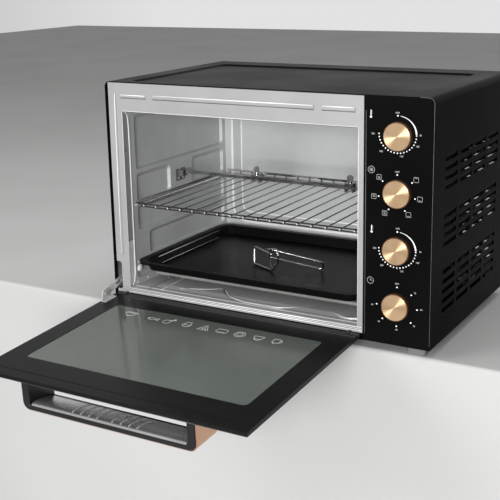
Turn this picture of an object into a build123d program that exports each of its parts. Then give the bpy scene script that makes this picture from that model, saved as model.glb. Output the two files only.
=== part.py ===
from build123d import *
import os
from math import cos, sin, tan, radians, degrees, atan2, hypot

# Countertop electric convection oven with its door open at the stop.
# Working frame while modelling (mm): x = 0 at the left side of the casing,
# y = 0 at the front face of the casing, z = 0 at the soles of the feet.
# The viewer stands at -y. At the end every piece is shifted by SHIFT so that
# the origin is the bottom centre of the whole object's box (door open).
SHIFT = (-270.0, -9.729, 37.811)

# ------------------------------------------------------------ driving sizes
W, D, H = 540.0, 336.0, 366.0      # casing width, depth, height of its top
FOOT_H = 15.0                      # height of the feet
T = 1.0                            # sheet thickness
R_EDGE = 9.0                       # rounded long edges of the casing
LIP = 6.0                          # black lip at the left of the front frame
PANEL_X = 439.2                    # left edge of the control panel
FR_Z0, FR_Z1 = 25.2, 364.3         # front frame, bottom and top
OP_X0, OP_X1, OP_Z0, OP_Z1 = 30.8, 431.5, 33.4, 320.8   # mouth of the cavity
CAV_X0, CAV_X1 = 33.0, 433.0       # faces of the cavity's side walls
CAV_Y0, CAV_Y1 = 12.0, 300.0       # cavity depth
CAV_Z0, CAV_Z1 = 36.0, 323.0       # floor and roof faces
DIV_X = 452.0                      # heat shield between cavity and controls
KNOB_X = 490.5
KNOB_Z = (312.6, 234.1, 154.2, 73.5)
KNOB_R, KNOB_H = 20.0, 9.0
SPIT_Y, SPIT_Z = 150.0, 199.0
FAN_Y, FAN_Z = 205.0, 265.0
RACK_Z = 170.15                    # level of the rack's upper rails
ROD = 2.5                          # half the side of the square spit rod
TRAY_RIM_Z, TRAY_Z = 77.0, 61.5
HINGE_Y, HINGE_Z = -4.42, 22.55    # door hinge axis
DOOR_OPEN = 93.0                   # opening angle of the rest pose
DX0, DX1, DZ0, DZ1 = 9.0, 437.0, 22.0, 341.0   # door outline when closed
DY0, DY1 = -2.0, -8.0              # inner and outer face of the closed door
WX0, WX1, WZ0, WZ1 = 42.0, 402.0, 68.0, 283.0  # door window when closed
HX0, HX1, HZ0, HZ1 = 85.0, 361.6, 290.0, 340.2  # handle when closed
HY1 = -47.0                        # handle's outer face when closed
POST = 11.5                        # width of the handle's two posts
ARM_Y, ARM_Z, ARM_TILT = -40.0, 32.5, 14.0     # hinge arm pivot and tilt, open

parts = {}


# ------------------------------------------------------------ small helpers
def box(x0, x1, y0, y1, z0, z1):
    return Pos((x0 + x1) / 2, (y0 + y1) / 2, (z0 + z1) / 2) * Box(abs(x1 - x0), abs(y1 - y0), abs(z1 - z0))


def cx(x0, x1, y, z, r):
    return Pos((x0 + x1) / 2, y, z) * Rot(0, 90, 0) * Cylinder(r, abs(x1 - x0))


def cy(y0, y1, x, z, r):
    return Pos(x, (y0 + y1) / 2, z) * Rot(90, 0, 0) * Cylinder(r, abs(y1 - y0))


def cz(z0, z1, x, y, r):
    return Pos(x, y, (z0 + z1) / 2) * Cylinder(r, abs(z1 - z0))


def pl_xz(y):      # local x = +X, local y = +Z, normal -Y
    return Plane(origin=(0, y, 0), x_dir=(1, 0, 0), z_dir=(0, -1, 0))


def pl_yz(x):      # local x = +Y, local y = +Z, normal +X
    return Plane(origin=(x, 0, 0), x_dir=(0, 1, 0), z_dir=(1, 0, 0))


def xz(sk, y0, y1):
    return extrude(pl_xz(y1) * sk, y1 - y0)


def yz(sk, x0, x1):
    return extrude(pl_yz(x0) * sk, x1 - x0)


def rr(x0, x1, y0, y1, r):
    return Pos((x0 + x1) / 2, (y0 + y1) / 2) * RectangleRounded(x1 - x0, y1 - y0, r)


def poly(*pts):
    return make_face(Polyline(*pts, close=True))


def wire(pts, r, bend):
    """A round bar along straight runs joined by tangent arcs."""
    if len(pts) == 2:
        w = Wire([Edge.make_line(pts[0], pts[1])])
    else:
        w = FilletPolyline(*pts, radius=bend).wire()
    return sweep(Plane(origin=w @ 0, z_dir=w % 0) * Circle(r), path=w)


def fuse(first, items):
    out = first
    if items:
        out = out + list(items)
    return out


def swing(shape, deg=DOOR_OPEN):
    """Turns a piece of the closed door to the open position."""
    return shape.rotate(Axis((0, HINGE_Y, HINGE_Z), (1, 0, 0)), deg)


def save(name, shape):
    parts[name] = shape


def screw(axis, x, y, z, r=2.0, head=3.6, h=1.6, length=8.0, sign=1):
    """Pan-head screw. (x, y, z) is under the head; the head stands on the sign side of axis."""
    f = {"x": cx, "y": cy, "z": cz}[axis]
    if axis == "x":
        a = cx(x, x + sign * h, y, z, head) + cx(x, x - sign * length, y, z, r)
        slot = box(x + sign * (h - 0.7), x + sign * (h + 1), y - head, y + head, z - 0.5, z + 0.5) + box(
            x + sign * (h - 0.7), x + sign * (h + 1), y - 0.5, y + 0.5, z - head, z + head)
    elif axis == "y":
        a = cy(y, y + sign * h, x, z, head) + cy(y, y - sign * length, x, z, r)
        slot = box(x - 2.4, x + 2.4, y + sign * (h - 0.7), y + sign * (h + 1), z - 0.5, z + 0.5) + box(
            x - 0.5, x + 0.5, y + sign * (h - 0.7), y + sign * (h + 1), z - 2.4, z + 2.4)
    else:
        a = cz(z, z + sign * h, x, y, head) + cz(z, z - sign * length, x, y, r)
        slot = box(x - 2.4, x + 2.4, y - 0.5, y + 0.5, z + sign * (h - 0.7), z + sign * (h + 1)) + box(
            x - 0.5, x + 0.5, y - 2.4, y + 2.4, z + sign * (h - 0.7), z + sign * (h + 1))
    return a - slot


# ------------------------------------------------------------ outer casing
def skin_profile(inset=0.0):
    """Cross-section of the casing: a rectangle with two rounded top corners."""
    x0, x1, z0, z1, r = inset, W - inset, FOOT_H, H - inset, R_EDGE - inset
    base = Pos((x0 + x1) / 2, (z0 + z1) / 2) * Rectangle(x1 - x0, z1 - z0)
    tops = base.vertices().group_by(Axis.Y)[-1]
    return fillet(tops, r)


shell = xz(skin_profile(), 0.0, D) - xz(skin_profile(T), -1.0, D + 1.0)
shell = shell - box(T, W - T, -1, D + 1, FOOT_H - 1, FOOT_H + T + 5)
# fold line near the rear of the right side
shell = shell - box(W - 0.4, W + 1, 290.3, 291.7, 44, 236)
# the control panel lies in front of the casing on the right
shell = shell - box(PANEL_X, W + 1, -1, 2.0, 0, H + 1)
# black lip beside the front frame
shell = shell + box(T, LIP, 0, T, FOOT_H, H - R_EDGE)
# shallow pressed field in the top
top_pl = Plane(origin=(0, 0, H), x_dir=(1, 0, 0), z_dir=(0, 0, -1))
fld = (38.0, 502.0, 12.0, 290.0)


def top_field(grow, depth):
    sk = Pos((fld[0] + fld[1]) / 2, -(fld[2] + fld[3]) / 2) * RectangleRounded(
        fld[1] - fld[0] + 2 * grow, fld[3] - fld[2] + 2 * grow, 14 + grow)
    return extrude(top_pl * sk, depth, taper=68)


shell = (shell + top_field(1.6, 3.4)) - top_field(0.0, 2.4)

# pressed-in louvres: a sloping flap, open along its lower edge
L_LEN, L_H, L_IN = 53.0, 8.0, 3.8
COLS = (71.5, 133.0, 195.0, 256.5)
ROWS = (278, 264.5, 251, 237.5, 197, 183.7, 170.4, 157, 117, 102.8, 88.6, 74.4, 60.2)
flap = xz(poly((W - T, L_H / 2), (W, L_H / 2), (W - L_IN, -L_H / 2), (W - L_IN - T, -L_H / 2)), -L_LEN / 2, L_LEN / 2)
cheek = poly((W - T, L_H / 2), (W, L_H / 2), (W, -L_H / 2), (W - L_IN - T, -L_H / 2))
flap = flap + xz(cheek, -L_LEN / 2, -L_LEN / 2 + 0.9) + xz(cheek, L_LEN / 2 - 0.9, L_LEN / 2)
notch = box(W - 2 * T, W + 1, -L_LEN / 2, L_LEN / 2, -L_H / 2, L_H / 2)
places = [Pos(0, c, r) for c in COLS for r in ROWS]
left_places = [Pos(0, c, r) for c in COLS for r in ROWS[4:]]
mir = Plane(origin=(W / 2, 0, 0), x_dir=(0, 1, 0), z_dir=(1, 0, 0))
shell = shell - [p * notch for p in places] - [mirror(p * notch, about=mir) for p in left_places]
shell = fuse(shell, [p * flap for p in places] + [mirror(p * flap, about=mir) for p in left_places])
save("casing_wrap", shell)

# back cover with vent slots, and the hole of the cord gland
back = xz(rr(0.6, W - 0.6, FOOT_H + 0.4, H - 0.6, R_EDGE - 1), D + 0.3, D + 1.5)
back = back - xz(rr(60, 400, 70, 320, 16), D + 0.2, D + 0.9)
slots = [xz(rr(470, 520, 60 + 12 * i, 64.5 + 12 * i, 2.2), D, D + 2) for i in range(20)]
slots += [xz(rr(90 + 62 * j, 140 + 62 * j, 300 - 11 * i, 304.5 - 11 * i, 2.2), D, D + 2) for j in range(5) for i in range(3)]
back = back - slots - cy(D, D + 2, 430, 42, 8.1)
flange = xz(rr(2.2, W - 2.2, FOOT_H + 2.2, H - 2.2, R_EDGE - 2.4), D - 11, D + 0.3) - xz(
    rr(3.2, W - 3.2, FOOT_H + 3.2, H - 3.2, R_EDGE - 3.4), D - 12, D + 1)
flange = flange - box(0, W, D - 20, D + 0.3, FOOT_H - 1, FOOT_H + 16)
back = back + flange
save("back_cover", back)

# base pan with upturned edges; its front edge is the black strip under the frame
base = box(1.2, W - 1.2, 2.2, D - 0.4, FOOT_H, FOOT_H + T)
base = base + box(LIP + 0.2, PANEL_X - 0.2, 0.2, 1.2, FOOT_H, FR_Z0 - 0.2) + box(LIP + 0.2, PANEL_X - 0.2, 1.2, 2.4, FOOT_H, FOOT_H + T)
base = base + box(1.2, 2.2, 2.2, D - 0.4, FOOT_H + T, FOOT_H + 13) + box(W - 2.2, W - 1.2, 2.4, D - 0.4, FOOT_H + T, FOOT_H + 13)
base = base + box(2.2, W - 2.2, D - 1.4, D - 0.4, FOOT_H + T, FOOT_H + 13)
base = base - [box(60 + 64 * i, 110 + 64 * i, 60 + 24 * j, 64 + 24 * j, FOOT_H - 1, FOOT_H + 2) for i in range(6) for j in range(9)]
base = base - [box(462, 512, 110 + 16 * j, 114 + 16 * j, FOOT_H - 1, FOOT_H + 2) for j in range(8)]
FEET = [(25.0, 27.0), (515.0, 27.0), (25.0, 288.0), (515.0, 288.0)]
base = base - [cz(FOOT_H - 1, FOOT_H + 2, x, y, 2.3) for x, y in FEET]
save("base_pan", base)


def foot(x, y):
    f = extrude(Plane(origin=(x, y, 0)) * RectangleRounded(26, 26, 4), FOOT_H, taper=-7.0)
    f = chamfer(f.faces().sort_by(Axis.Z)[0].edges(), 1.2)
    return f - cz(-1, 5.0, x, y, 5.2) - cz(4.0, FOOT_H + 1, x, y, 2.3)


save("feet", [foot(x, y) for x, y in FEET])
foot_sc = [screw("z", x, y, 5.0, r=2.0, head=4.4, h=1.8, length=14, sign=-1) for x, y in FEET]

# ------------------------------------------------------------ front frame
frame = box(LIP, PANEL_X, 0.1, T + 0.1, FR_Z0, FR_Z1)
frame = frame - box(OP_X0, OP_X1, -1, 3, OP_Z0, OP_Z1)
# flange turned into the cavity all round the mouth
ring = xz(Pos((OP_X0 + OP_X1) / 2, (OP_Z0 + OP_Z1) / 2) * Rectangle(OP_X1 - OP_X0 + 2 * T, OP_Z1 - OP_Z0 + 2 * T), T + 0.1, CAV_Y0)
ring = ring - box(OP_X0, OP_X1, -1, CAV_Y0 + 1, OP_Z0, OP_Z1)
# the turned flange is notched near its lower corners, and has two small slots
frame = frame + ring
for xa, xb in ((OP_X0 - 2, OP_X0 + 1), (OP_X1 - 1, OP_X1 + 2)):
    frame = frame - box(xa, xb, 2.5, 7.0, 254, 259) - box(xa, xb, 2.5, 7.0, 110, 115)


def bead(x0, x1, z0, z1):
    """Raised rib pressed towards the viewer, hollow behind."""
    r = min(x1 - x0, z1 - z0) / 2 - 0.05
    out = extrude(pl_xz(0.1) * rr(x0, x1, z0, z1, r), 1.5, taper=35)
    ri = r - 0.62
    ins = extrude(pl_xz(T + 0.1) * rr(x0 + 0.6, x1 - 0.6, z0 + 0.6, z1 - 0.6, ri), 1.75, taper=30)
    return out, ins


beads = [bead(28, 78.5, 341.4, 348.6), bead(88, 364.5, 341.4, 348.6), bead(374, 427.5, 341.4, 348.6), bead(13.8, 21.4, 88, 350)]
frame = fuse(frame, [b[0] for b in beads]) - [b[1] for b in beads]
# stepped sill along the bottom edge
frame = frame + box(OP_X0, PANEL_X - 4, -0.9, 0.1, 27.4, 29.6) + box(OP_X0, PANEL_X - 4, -0.9, 0.1, 31.6, OP_Z0)
# open slot for the hinge arm
frame = frame - xz(rr(LIP - 6, 15.6, 30.0, 76.0, 4.6), -1, 3) - box(LIP - 1, 9, -1, 3, 30, 72)
frame = frame - box(23.6, 27.4, -1, 0.05, 20, 30)
save("front_frame", frame)

# control panel: thick black plate with a rounded outer corner
pan_sk = Pos((PANEL_X + 0.15 + W) / 2, (FOOT_H + H) / 2) * Rectangle(W - PANEL_X - 0.15, H - FOOT_H)
pan_sk = fillet(pan_sk.vertices().group_by(Axis.Y)[-1].sort_by(Axis.X)[-1:], R_EDGE)
panel = xz(pan_sk, 0.0, 2.0)
rim = panel.faces().sort_by(Axis.Y)[0].edges()
panel = chamfer(rim, 0.7)
panel = panel + box(PANEL_X + 1.5, W - 2.5, 2.0, 9.0, FOOT_H + 1.6, FOOT_H + 2.8) + box(PANEL_X + 1.5, PANEL_X + 2.7, 2.0, 9.0, FOOT_H + 2.8, H - 4)
panel = panel - [cy(-1, 3, KNOB_X, z, 4.4) for z in KNOB_Z]
CS = [(KNOB_X + dx, z) for z in KNOB_Z for dx in (-14.0, 14.0)]
panel = panel - [cy(1.0, 3, x, z, 1.7) for x, z in CS]
save("control_panel", panel)

# ------------------------------------------------------------ cavity walls
left_pl = Plane(origin=(CAV_X0, 0, 0), x_dir=(0, -1, 0), z_dir=(-1, 0, 0))
PADS = [(27, 290, 223, 311, 5), (27, 122, 171, 217, 5), (188, 290, 171, 217, 5), (27, 290, 123.5, 165, 5),
        (56, 290, 78, 118, 5), (20, 290, 44, 70, 3.6)]


def pad(y0, y1, z0, z1, grow, depth):
    """A pressed field: steep at its ends, with a long slope along its top and a short one below."""
    def sk(a, b, c, d, r):
        return Pos(-(a + b) / 2, (c + d) / 2) * RectangleRounded(b - a, d - c, r)

    mouth = left_pl * sk(y0 - grow, y1 + grow, z0 - grow, z1 + grow, 8 + grow)
    back = left_pl.offset(depth) * sk(y0 + 2.2 - grow, y1 - 2.2 + grow, z0 + 2.5 - grow, z1 - 7.0 + grow, 6 + grow)
    return loft([mouth, back])


wall = box(CAV_X0 - T, CAV_X0, CAV_Y0, CAV_Y1, CAV_Z0 - 1, CAV_Z1 + 1)
outs = [pad(a, b, c, d, 1.25, dd + T) for a, b, c, d, dd in PADS]
ins = [pad(a, b, c, d, 0.0, dd) for a, b, c, d, dd in PADS]
wall = fuse(wall, outs) - ins
# bright front edge turned into the mouth, with its slanted lower end
ledge = [yz(poly((20, z - 3.0), (290, z - 3.0), (290, z), (20, z)), CAV_X0, CAV_X0 + 3.6) for z in (168.7, 73.5)]
ledge = [chamfer(g.faces().sort_by(Axis.X)[-1].edges().filter_by(Axis.Y).sort_by(Axis.Z)[:1], 2.4) for g in ledge]
ledge = [chamfer(g.edges().filter_by(Axis.Z).sort_by(Axis.X)[-2:], 3.0) for g in ledge]
edge = yz(poly((CAV_Y0 + 0.1, 50), (CAV_Y0 + 1.1, 50), (CAV_Y0 + 1.1, OP_Z1 - 16), (CAV_Y0 + 0.1, OP_Z1 - 16)), CAV_X0, CAV_X0 + 1.3)
wall = fuse(wall + edge, ledge)
cav_mid = Plane(origin=((CAV_X0 + CAV_X1) / 2, 0, 0), x_dir=(0, 1, 0), z_dir=(1, 0, 0))
PADS_R = [(27, 290, 223, 292, 5)] + PADS[1:5]
wall_r = box(CAV_X0 - T, CAV_X0, CAV_Y0, CAV_Y1, CAV_Z0 - 1, CAV_Z1 + 1)
wall_r = fuse(wall_r, [pad(a, b, c, d, 1.25, dd + T) for a, b, c, d, dd in PADS_R]) - [pad(a, b, c, d, 0.0, dd) for a, b, c, d, dd in PADS_R]
wall_r = mirror(fuse(wall_r + edge, ledge), about=cav_mid)
wall_l = wall - [cx(20, 34, y, z, 1.5) for y, z in ((18.5, 38.8), (46.0, 39.4))] - [cx(20, 34, SPIT_Y - 6, SPIT_Z - 11.5, 1.6), cx(20, 34, SPIT_Y + 8, SPIT_Z - 11.5, 1.6)]
save("cavity_wall_left", wall_l)
HEAT_UP = [(88.0, 140.0), (196.0, 248.0)]
HEAT_LO = [(42.0, 94.0), (200.0, 252.0)]
HZU, HZL, HR = 312.0, 52.0, 3.4
holes = [cx(425, 445, y, HZU, 5.3) for p in HEAT_UP for y in p] + [cx(425, 445, y, HZL, 5.3) for p in HEAT_LO for y in p]
holes.append(cx(425, 445, SPIT_Y, SPIT_Z, 8.2))
holes.append(cx(425, 445, FAN_Y, FAN_Z, 2.4))
for ring_r, n in ((8, 6), (15, 12), (22, 16), (29, 22)):
    for i in range(n):
        a = radians(360.0 / n * i + ring_r)
        holes.append(cx(425, 445, FAN_Y + ring_r * cos(a), FAN_Z + ring_r * sin(a), 2.3))
holes += [cx(425, 445, 165, 295, 2.3), cx(425, 445, 185, 92, 2.3)]
wall_r = wall_r - holes
save("cavity_wall_right", wall_r)

save("cavity_roof", box(CAV_X0 - T, CAV_X1 + T, CAV_Y0, CAV_Y1, CAV_Z1 + 1, CAV_Z1 + 2)
     + box(CAV_X0 - T, CAV_X1 + T, CAV_Y0, CAV_Y0 + 1, CAV_Z1 + 2, CAV_Z1 + 12))

back_pl = pl_xz(CAV_Y1)


def plateau(grow, height, back_off):
    p = pl_xz(CAV_Y1 + back_off)
    sk = rr(48 - grow, 418 + grow, 80 - grow, 306 + grow, 26 + grow)
    return extrude(p * sk, height, taper=74)


bw = box(CAV_X0 - T, CAV_X1 + T, CAV_Y1, CAV_Y1 + T, CAV_Z0 - 1, CAV_Z1 + 1)
bw = (bw + plateau(0.0, 6.0, 0.0)) - plateau(-1.0, 6.0, T + 0.02)
save("cavity_back", bw)

floor = box(CAV_X0 - T, CAV_X1 + T, CAV_Y0, CAV_Y1, CAV_Z0 - 2, CAV_Z0 - 1)
floor = floor + box(OP_X0 + 0.1, OP_X1 - 0.1, 1.4, CAV_Y0, OP_Z0 + 0.05, OP_Z0 + 0.75)
# pressed wave line and field in the floor
wave_pts = [(112, 26, CAV_Z0 - 1), (148, 38, CAV_Z0 - 1), (174, 60, CAV_Z0 - 1), (200, 28, CAV_Z0 - 1), (236, 16, CAV_Z0 - 1),
            (292, 16, CAV_Z0 - 1), (322, 30, CAV_Z0 - 1), (347, 60, CAV_Z0 - 1), (374, 34, CAV_Z0 - 1), (404, 20, CAV_Z0 - 1), (424, 28, CAV_Z0 - 1)]
line = FilletPolyline(*wave_pts, radius=[30, 8, 26, 40, 40, 30, 8, 40, 18])
wv = line.wire()
groove = sweep(Plane(origin=wv @ 0, z_dir=wv % 0) * (Pos(0, 0) * Circle(2.2)), path=wv)
field_o = extrude(Plane(origin=(0, 0, CAV_Z0 - 1)) * rr(64, 402, 20, 288, 12), 2.0, taper=80)
field_i = extrude(Plane(origin=(0, 0, CAV_Z0 - 2)) * rr(66, 400, 22, 286, 12), 2.0, taper=80)
floor = (floor + field_o) - field_i
floor = floor + (groove & box(0, W, 0, D, CAV_Z0 - 1.0, CAV_Z0 + 10))
save("cavity_floor", floor)

shield = box(DIV_X, DIV_X + T, 9.6, 332.0, FOOT_H + 1.2, H - 8)
shield = shield - cx(450, 455, SPIT_Y, SPIT_Z, 8.2) - cx(450, 455, FAN_Y, FAN_Z, 4.2)
shield = shield - [cx(450, 455, y, z, 6.5) for z, prs in ((HZU, HEAT_UP), (HZL, HEAT_LO)) for p in prs for y in p]
shield = shield + box(DIV_X + T, DIV_X + 10, 9.6, 332.0, FOOT_H + 1.2, FOOT_H + 2.2)
save("heat_shield", shield)

# ------------------------------------------------------------ heating
BX0, BXL = 62.0, 49.0              # bends of the upper and lower tubes


def element(pair, z):
    """Hairpin tube: its bend is near the left wall, its ends pass the right wall."""
    y0, y1 = pair
    x = BX0 if z > 200 else BXL
    return wire([(448.0, y0, z), (x, y0, z), (x, y1, z), (448.0, y1, z)], HR, 14 if z > 200 else 10)


save("upper_heaters", [element(p, HZU) + [cx(448, 458, y, HZU, 1.6) for y in p] for p in HEAT_UP])
save("lower_heaters", [element(p, HZL) + [cx(448, 458, y, HZL, 1.6) for y in p] for p in HEAT_LO])


def insulator(y, z):
    return (cx(429.5, 436.0, y, z, 5.1) + cx(434.2, 437.5, y, z, 7.4)) - cx(425, 440, y, z, HR + 0.12)


save("heater_insulators", [insulator(y, z) for z, prs in ((HZU, HEAT_UP), (HZL, HEAT_LO)) for p in prs for y in p])


def hanger(pair, z, base_z):
    y0, y1 = pair
    lo, hi = (base_z, z + 6) if base_z < z else (z - 6, base_z)
    c = box(78, 79.2, y0 - 7, y1 + 7, lo, hi) - [cx(77, 80, y, z, HR + 0.15) for y in pair]
    c = c - box(77, 80, y0 + 9, y1 - 9, z - 3 if base_z > z else z - 3, z + 20 if base_z < z else z + 3)
    foot_z = (base_z, base_z + T) if base_z < z else (base_z - T, base_z)
    return c + box(79.2, 90, y0 + 10, y1 - 10, *foot_z)


def saddle(pair, z, base_z, x=60.0):
    """Strap that hooks over both runs of a lower tube, on one narrow leg."""
    y0, y1 = pair
    ym = (y0 + y1) / 2
    c = box(x, x + 1.2, y0 - 5.5, y1 + 5.5, z - 0.6, z + 6) - [cx(x - 1, x + 3, y, z, HR + 0.15) for y in pair]
    c = c + [box(x - 5.5, x + 9.5, y - 3.0, y + 3.0, z + HR + 0.15, z + HR + 1.25) for y in pair]
    return c + box(x, x + 1.2, ym - 3, ym + 3, base_z, z + 4) + box(x, x + 10, ym - 4, ym + 4, base_z, base_z + T)


save("heater_clips", [hanger(p, HZU, CAV_Z1 + 1) for p in HEAT_UP] + [saddle(p, HZL, CAV_Z0 + 1.0) for p in HEAT_LO])

# ------------------------------------------------------------ rotisserie and fan drives
gear_case = cx(454, 474, SPIT_Y, SPIT_Z, 26) + cx(474, 490, SPIT_Y, SPIT_Z + 4, 20)
gear_case = gear_case + box(454, 456, SPIT_Y - 36, SPIT_Y + 36, SPIT_Z - 8, SPIT_Z + 8)
gear_case = gear_case - cx(453, 468, SPIT_Y, SPIT_Z, 5.05)
save("rotisserie_motor", gear_case)
socket = (cx(427.5, 450.5, SPIT_Y, SPIT_Z, 7.6) + cx(450.5, 466.0, SPIT_Y, SPIT_Z, 5.0)) - box(
    426, 446, SPIT_Y - ROD - 0.2, SPIT_Y + ROD + 0.2, SPIT_Z - ROD - 0.2, SPIT_Z + ROD + 0.2)
save("spit_socket", socket)

motor = cx(456, 486, FAN_Y, FAN_Z, 27) + cx(486, 494, FAN_Y, FAN_Z, 9) + box(454, 456, FAN_Y - 38, FAN_Y + 38, FAN_Z - 9, FAN_Z + 9)
motor = motor - cx(453, 482, FAN_Y, FAN_Z, 3.05)
save("fan_motor", motor)
rotor = cx(441.5, 481.0, FAN_Y, FAN_Z, 3.0) + cx(441.2, 442.4, FAN_Y, FAN_Z, 30) + cx(442.4, 450, FAN_Y, FAN_Z, 6.5)
blades = []
for i in range(8):
    b = box(442.4, 450.4, FAN_Y - 0.5, FAN_Y + 0.5, FAN_Z + 12, FAN_Z + 29.5)
    b = b.rotate(Axis((0, FAN_Y, FAN_Z + 20), (1, 0, 0)), 28)
    blades.append(b.rotate(Axis((0, FAN_Y, FAN_Z), (1, 0, 0)), 45.0 * i))
rotor = rotor + blades
save("fan_rotor", rotor)

# ------------------------------------------------------------ control units
def unit(z, kind):
    if kind == "thermostat":
        u = cy(2.2, 20, KNOB_X, z, 17) + box(KNOB_X - 21, KNOB_X + 21, 2.2, 5.2, z - 8, z + 8)
        u = u + box(KNOB_X - 9, KNOB_X + 9, 20, 27, z - 12, z + 12) + box(KNOB_X + 9, KNOB_X + 10, 20, 33, z - 4, z + 4) + box(
            KNOB_X - 10, KNOB_X - 9, 20, 33, z - 4, z + 4)
    elif kind == "switch":
        u = box(KNOB_X - 19, KNOB_X + 19, 2.2, 34, z - 17, z + 17)
        u = u + [box(KNOB_X - 15 + 7 * i, KNOB_X - 14.2 + 7 * i, 34, 42, z - 8 + 12 * j, z - 3 + 12 * j) for i in range(5) for j in range(2)]
    else:
        u = box(KNOB_X - 21, KNOB_X + 21, 2.2, 30, z - 24, z + 24) + cy(30, 44, KNOB_X, z, 21)
    u = u - cy(0, 16, KNOB_X, z, 3.05)
    u = u - [cy(1, 7, x, zz, 1.7) for x, zz in CS if abs(zz - z) < 1]
    return u


save("thermostats", [unit(KNOB_Z[0], "thermostat"), unit(KNOB_Z[2], "thermostat")])
save("function_switch", unit(KNOB_Z[1], "switch"))
save("timer_unit", unit(KNOB_Z[3], "timer"))
save("control_screws", [cy(1.0, 6.5, x, z, 1.6) for x, z in CS])

KN = ("upper_heat", "function", "lower_heat", "timer")
for name, z in zip(KN, KNOB_Z):
    k = cy(-KNOB_H, -0.8, KNOB_X, z, KNOB_R)
    k = fillet(k.faces().sort_by(Axis.Y)[0].edges(), 1.4)
    k = k - (cy(-2.4, -0.7, KNOB_X, z, KNOB_R - 2.0) - cy(-2.5, 0, KNOB_X, z, 7.5))
    k = k - cy(-6.6, 0, KNOB_X, z, 3.04)
    k = k - xz(rr(KNOB_X - 0.55, KNOB_X + 0.55, z + 10.5, z + 16.0, 0.5), -KNOB_H - 1, -KNOB_H + 0.5)
    save("knob_" + name, k)
    s = cy(-6.5, 14.0, KNOB_X, z, 3.0) - box(KNOB_X - 4, KNOB_X + 4, -7, 1.5, z + 1.9, z + 4)
    save("shaft_" + name, s)

# capillary sensor bulbs clipped along the roof and the floor, on the right wall
save("sensor_bulbs", [wire([(424, 90, 295.0), (424, 165, 295.0), (446, 165, 295.0)], 1.9, 4) + wire([(424, 80, 295.0), (424, 140, 295.0)], 2.8, 4),
                      wire([(424, 110, 92.0), (424, 185, 92.0), (446, 185, 92.0)], 1.9, 4) + wire([(424, 100, 92.0), (424, 160, 92.0)], 2.8, 4)])

save("terminal_block", [box(474, 506, 296, 310, 30, 42) - [cz(36, 43, 479 + 11 * i, 303, 2.4) for i in range(3)] + box(470, 510, 294, 312, 28, 30)
                        + box(486, 494, 299, 307, FOOT_H + T, 28)])
gland = cy(D + 1.5, D + 6.0, 430, 42, 11) + cy(D - 9, D + 1.5, 430, 42, 8.0) + (cy(D - 9, D - 1.0, 430, 42, 9.6) - cy(D - 9.1, D, 430, 42, 7.9))
gland = gland - cy(D - 10, D + 10, 430, 42, 4.0)
save("cord_gland", gland)

# ------------------------------------------------------------ spit, forks, support
hook = box(CAV_X0, CAV_X0 + T, SPIT_Y - 12, SPIT_Y + 14, SPIT_Z - 16, SPIT_Z + 4)
hook = hook - box(32, 36, SPIT_Y - 3.6, SPIT_Y + 3.6, SPIT_Z - 3.3, SPIT_Z + 6) - [cx(30, 36, SPIT_Y - 6, SPIT_Z - 11.5, 1.6), cx(30, 36, SPIT_Y + 8, SPIT_Z - 11.5, 1.6)]
cradle = box(CAV_X0 + T, CAV_X0 + 11, SPIT_Y - 6.5, SPIT_Y - 5.5, SPIT_Z - 7, SPIT_Z + 3)
cradle = cradle + box(CAV_X0 + T, CAV_X0 + 11, SPIT_Y + 5.5, SPIT_Y + 6.5, SPIT_Z - 7, SPIT_Z + 3) + box(
    CAV_X0 + T, CAV_X0 + 11, SPIT_Y - 6.5, SPIT_Y + 6.5, SPIT_Z - 8, SPIT_Z - 7)
save("spit_support", hook + cradle)
save("support_screws", [screw("x", CAV_X0 + T, y, SPIT_Z - 11.5, r=1.5, head=2.2, h=1.1, length=6, sign=1) for y in (SPIT_Y - 6, SPIT_Y + 8)]
     + [screw("x", CAV_X0, y, z, r=1.4, head=2.2, h=1.0, length=3.5, sign=1) for y, z in ((18.5, 38.8), (46.0, 39.4))])

rod = box(38.5, 445.0, SPIT_Y - ROD, SPIT_Y + ROD, SPIT_Z - ROD, SPIT_Z + ROD)
rod = rod + cx(36.2, 38.5, SPIT_Y, SPIT_Z, ROD - 0.1)
save("spit_rod", rod)


def fork(xc, way):
    """Fork on the spit: U bracket that straddles the rod, crossbar and two long tines pointing inwards."""
    f = box(xc - 7, xc + 7, SPIT_Y - 6.5, SPIT_Y + 6.5, SPIT_Z - 6.5, SPIT_Z + 7.5)
    f = f - box(xc - 5.2, xc + 5.2, SPIT_Y - 7, SPIT_Y + 7, SPIT_Z - 7, SPIT_Z + 4.5)
    f = f - box(xc - 8, xc + 8, SPIT_Y - ROD - 0.15, SPIT_Y + ROD + 0.15, SPIT_Z - ROD - 0.15, SPIT_Z + ROD + 0.15)
    f = f - cz(SPIT_Z, SPIT_Z + 9, xc, SPIT_Y, 2.06)
    x_y = xc + way * 7
    f = f + box(min(x_y, x_y - way * 2.5), max(x_y, x_y - way * 2.5), SPIT_Y - 18, SPIT_Y + 18, SPIT_Z + 4.4, SPIT_Z + 7.2)
    for s in (-1, 1):
        y = SPIT_Y + s * 16.0
        f = f + cx(x_y - way * 1.0, x_y + way * 50, y, SPIT_Z + 5.8, 1.6)
        tip = Pos(x_y + way * 53.5, y, SPIT_Z + 5.8) * Rot(0, way * 90, 0) * Cone(1.6, 0.3, 7.0)
        f = f + tip
    return f


def thumbscrew(xc):
    """Screw that clamps a fork: round flat paddle standing over its stem."""
    t = cz(SPIT_Z + ROD + 0.2, SPIT_Z + 11, xc, SPIT_Y, 2.0) + Pos(xc, SPIT_Y, SPIT_Z + 14.8) * Rot(90, 0, 0) * Cylinder(5.2, 2.4)
    t = t + cz(SPIT_Z + 7.6, SPIT_Z + 10, xc, SPIT_Y, 3.2)
    return t


FORK_L, FORK_R = 184.0, 350.3
save("fork_left", fork(FORK_L, 1))
save("fork_right", fork(FORK_R, -1))
save("thumbscrew_left", thumbscrew(FORK_L))
save("thumbscrew_right", thumbscrew(FORK_R))

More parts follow.
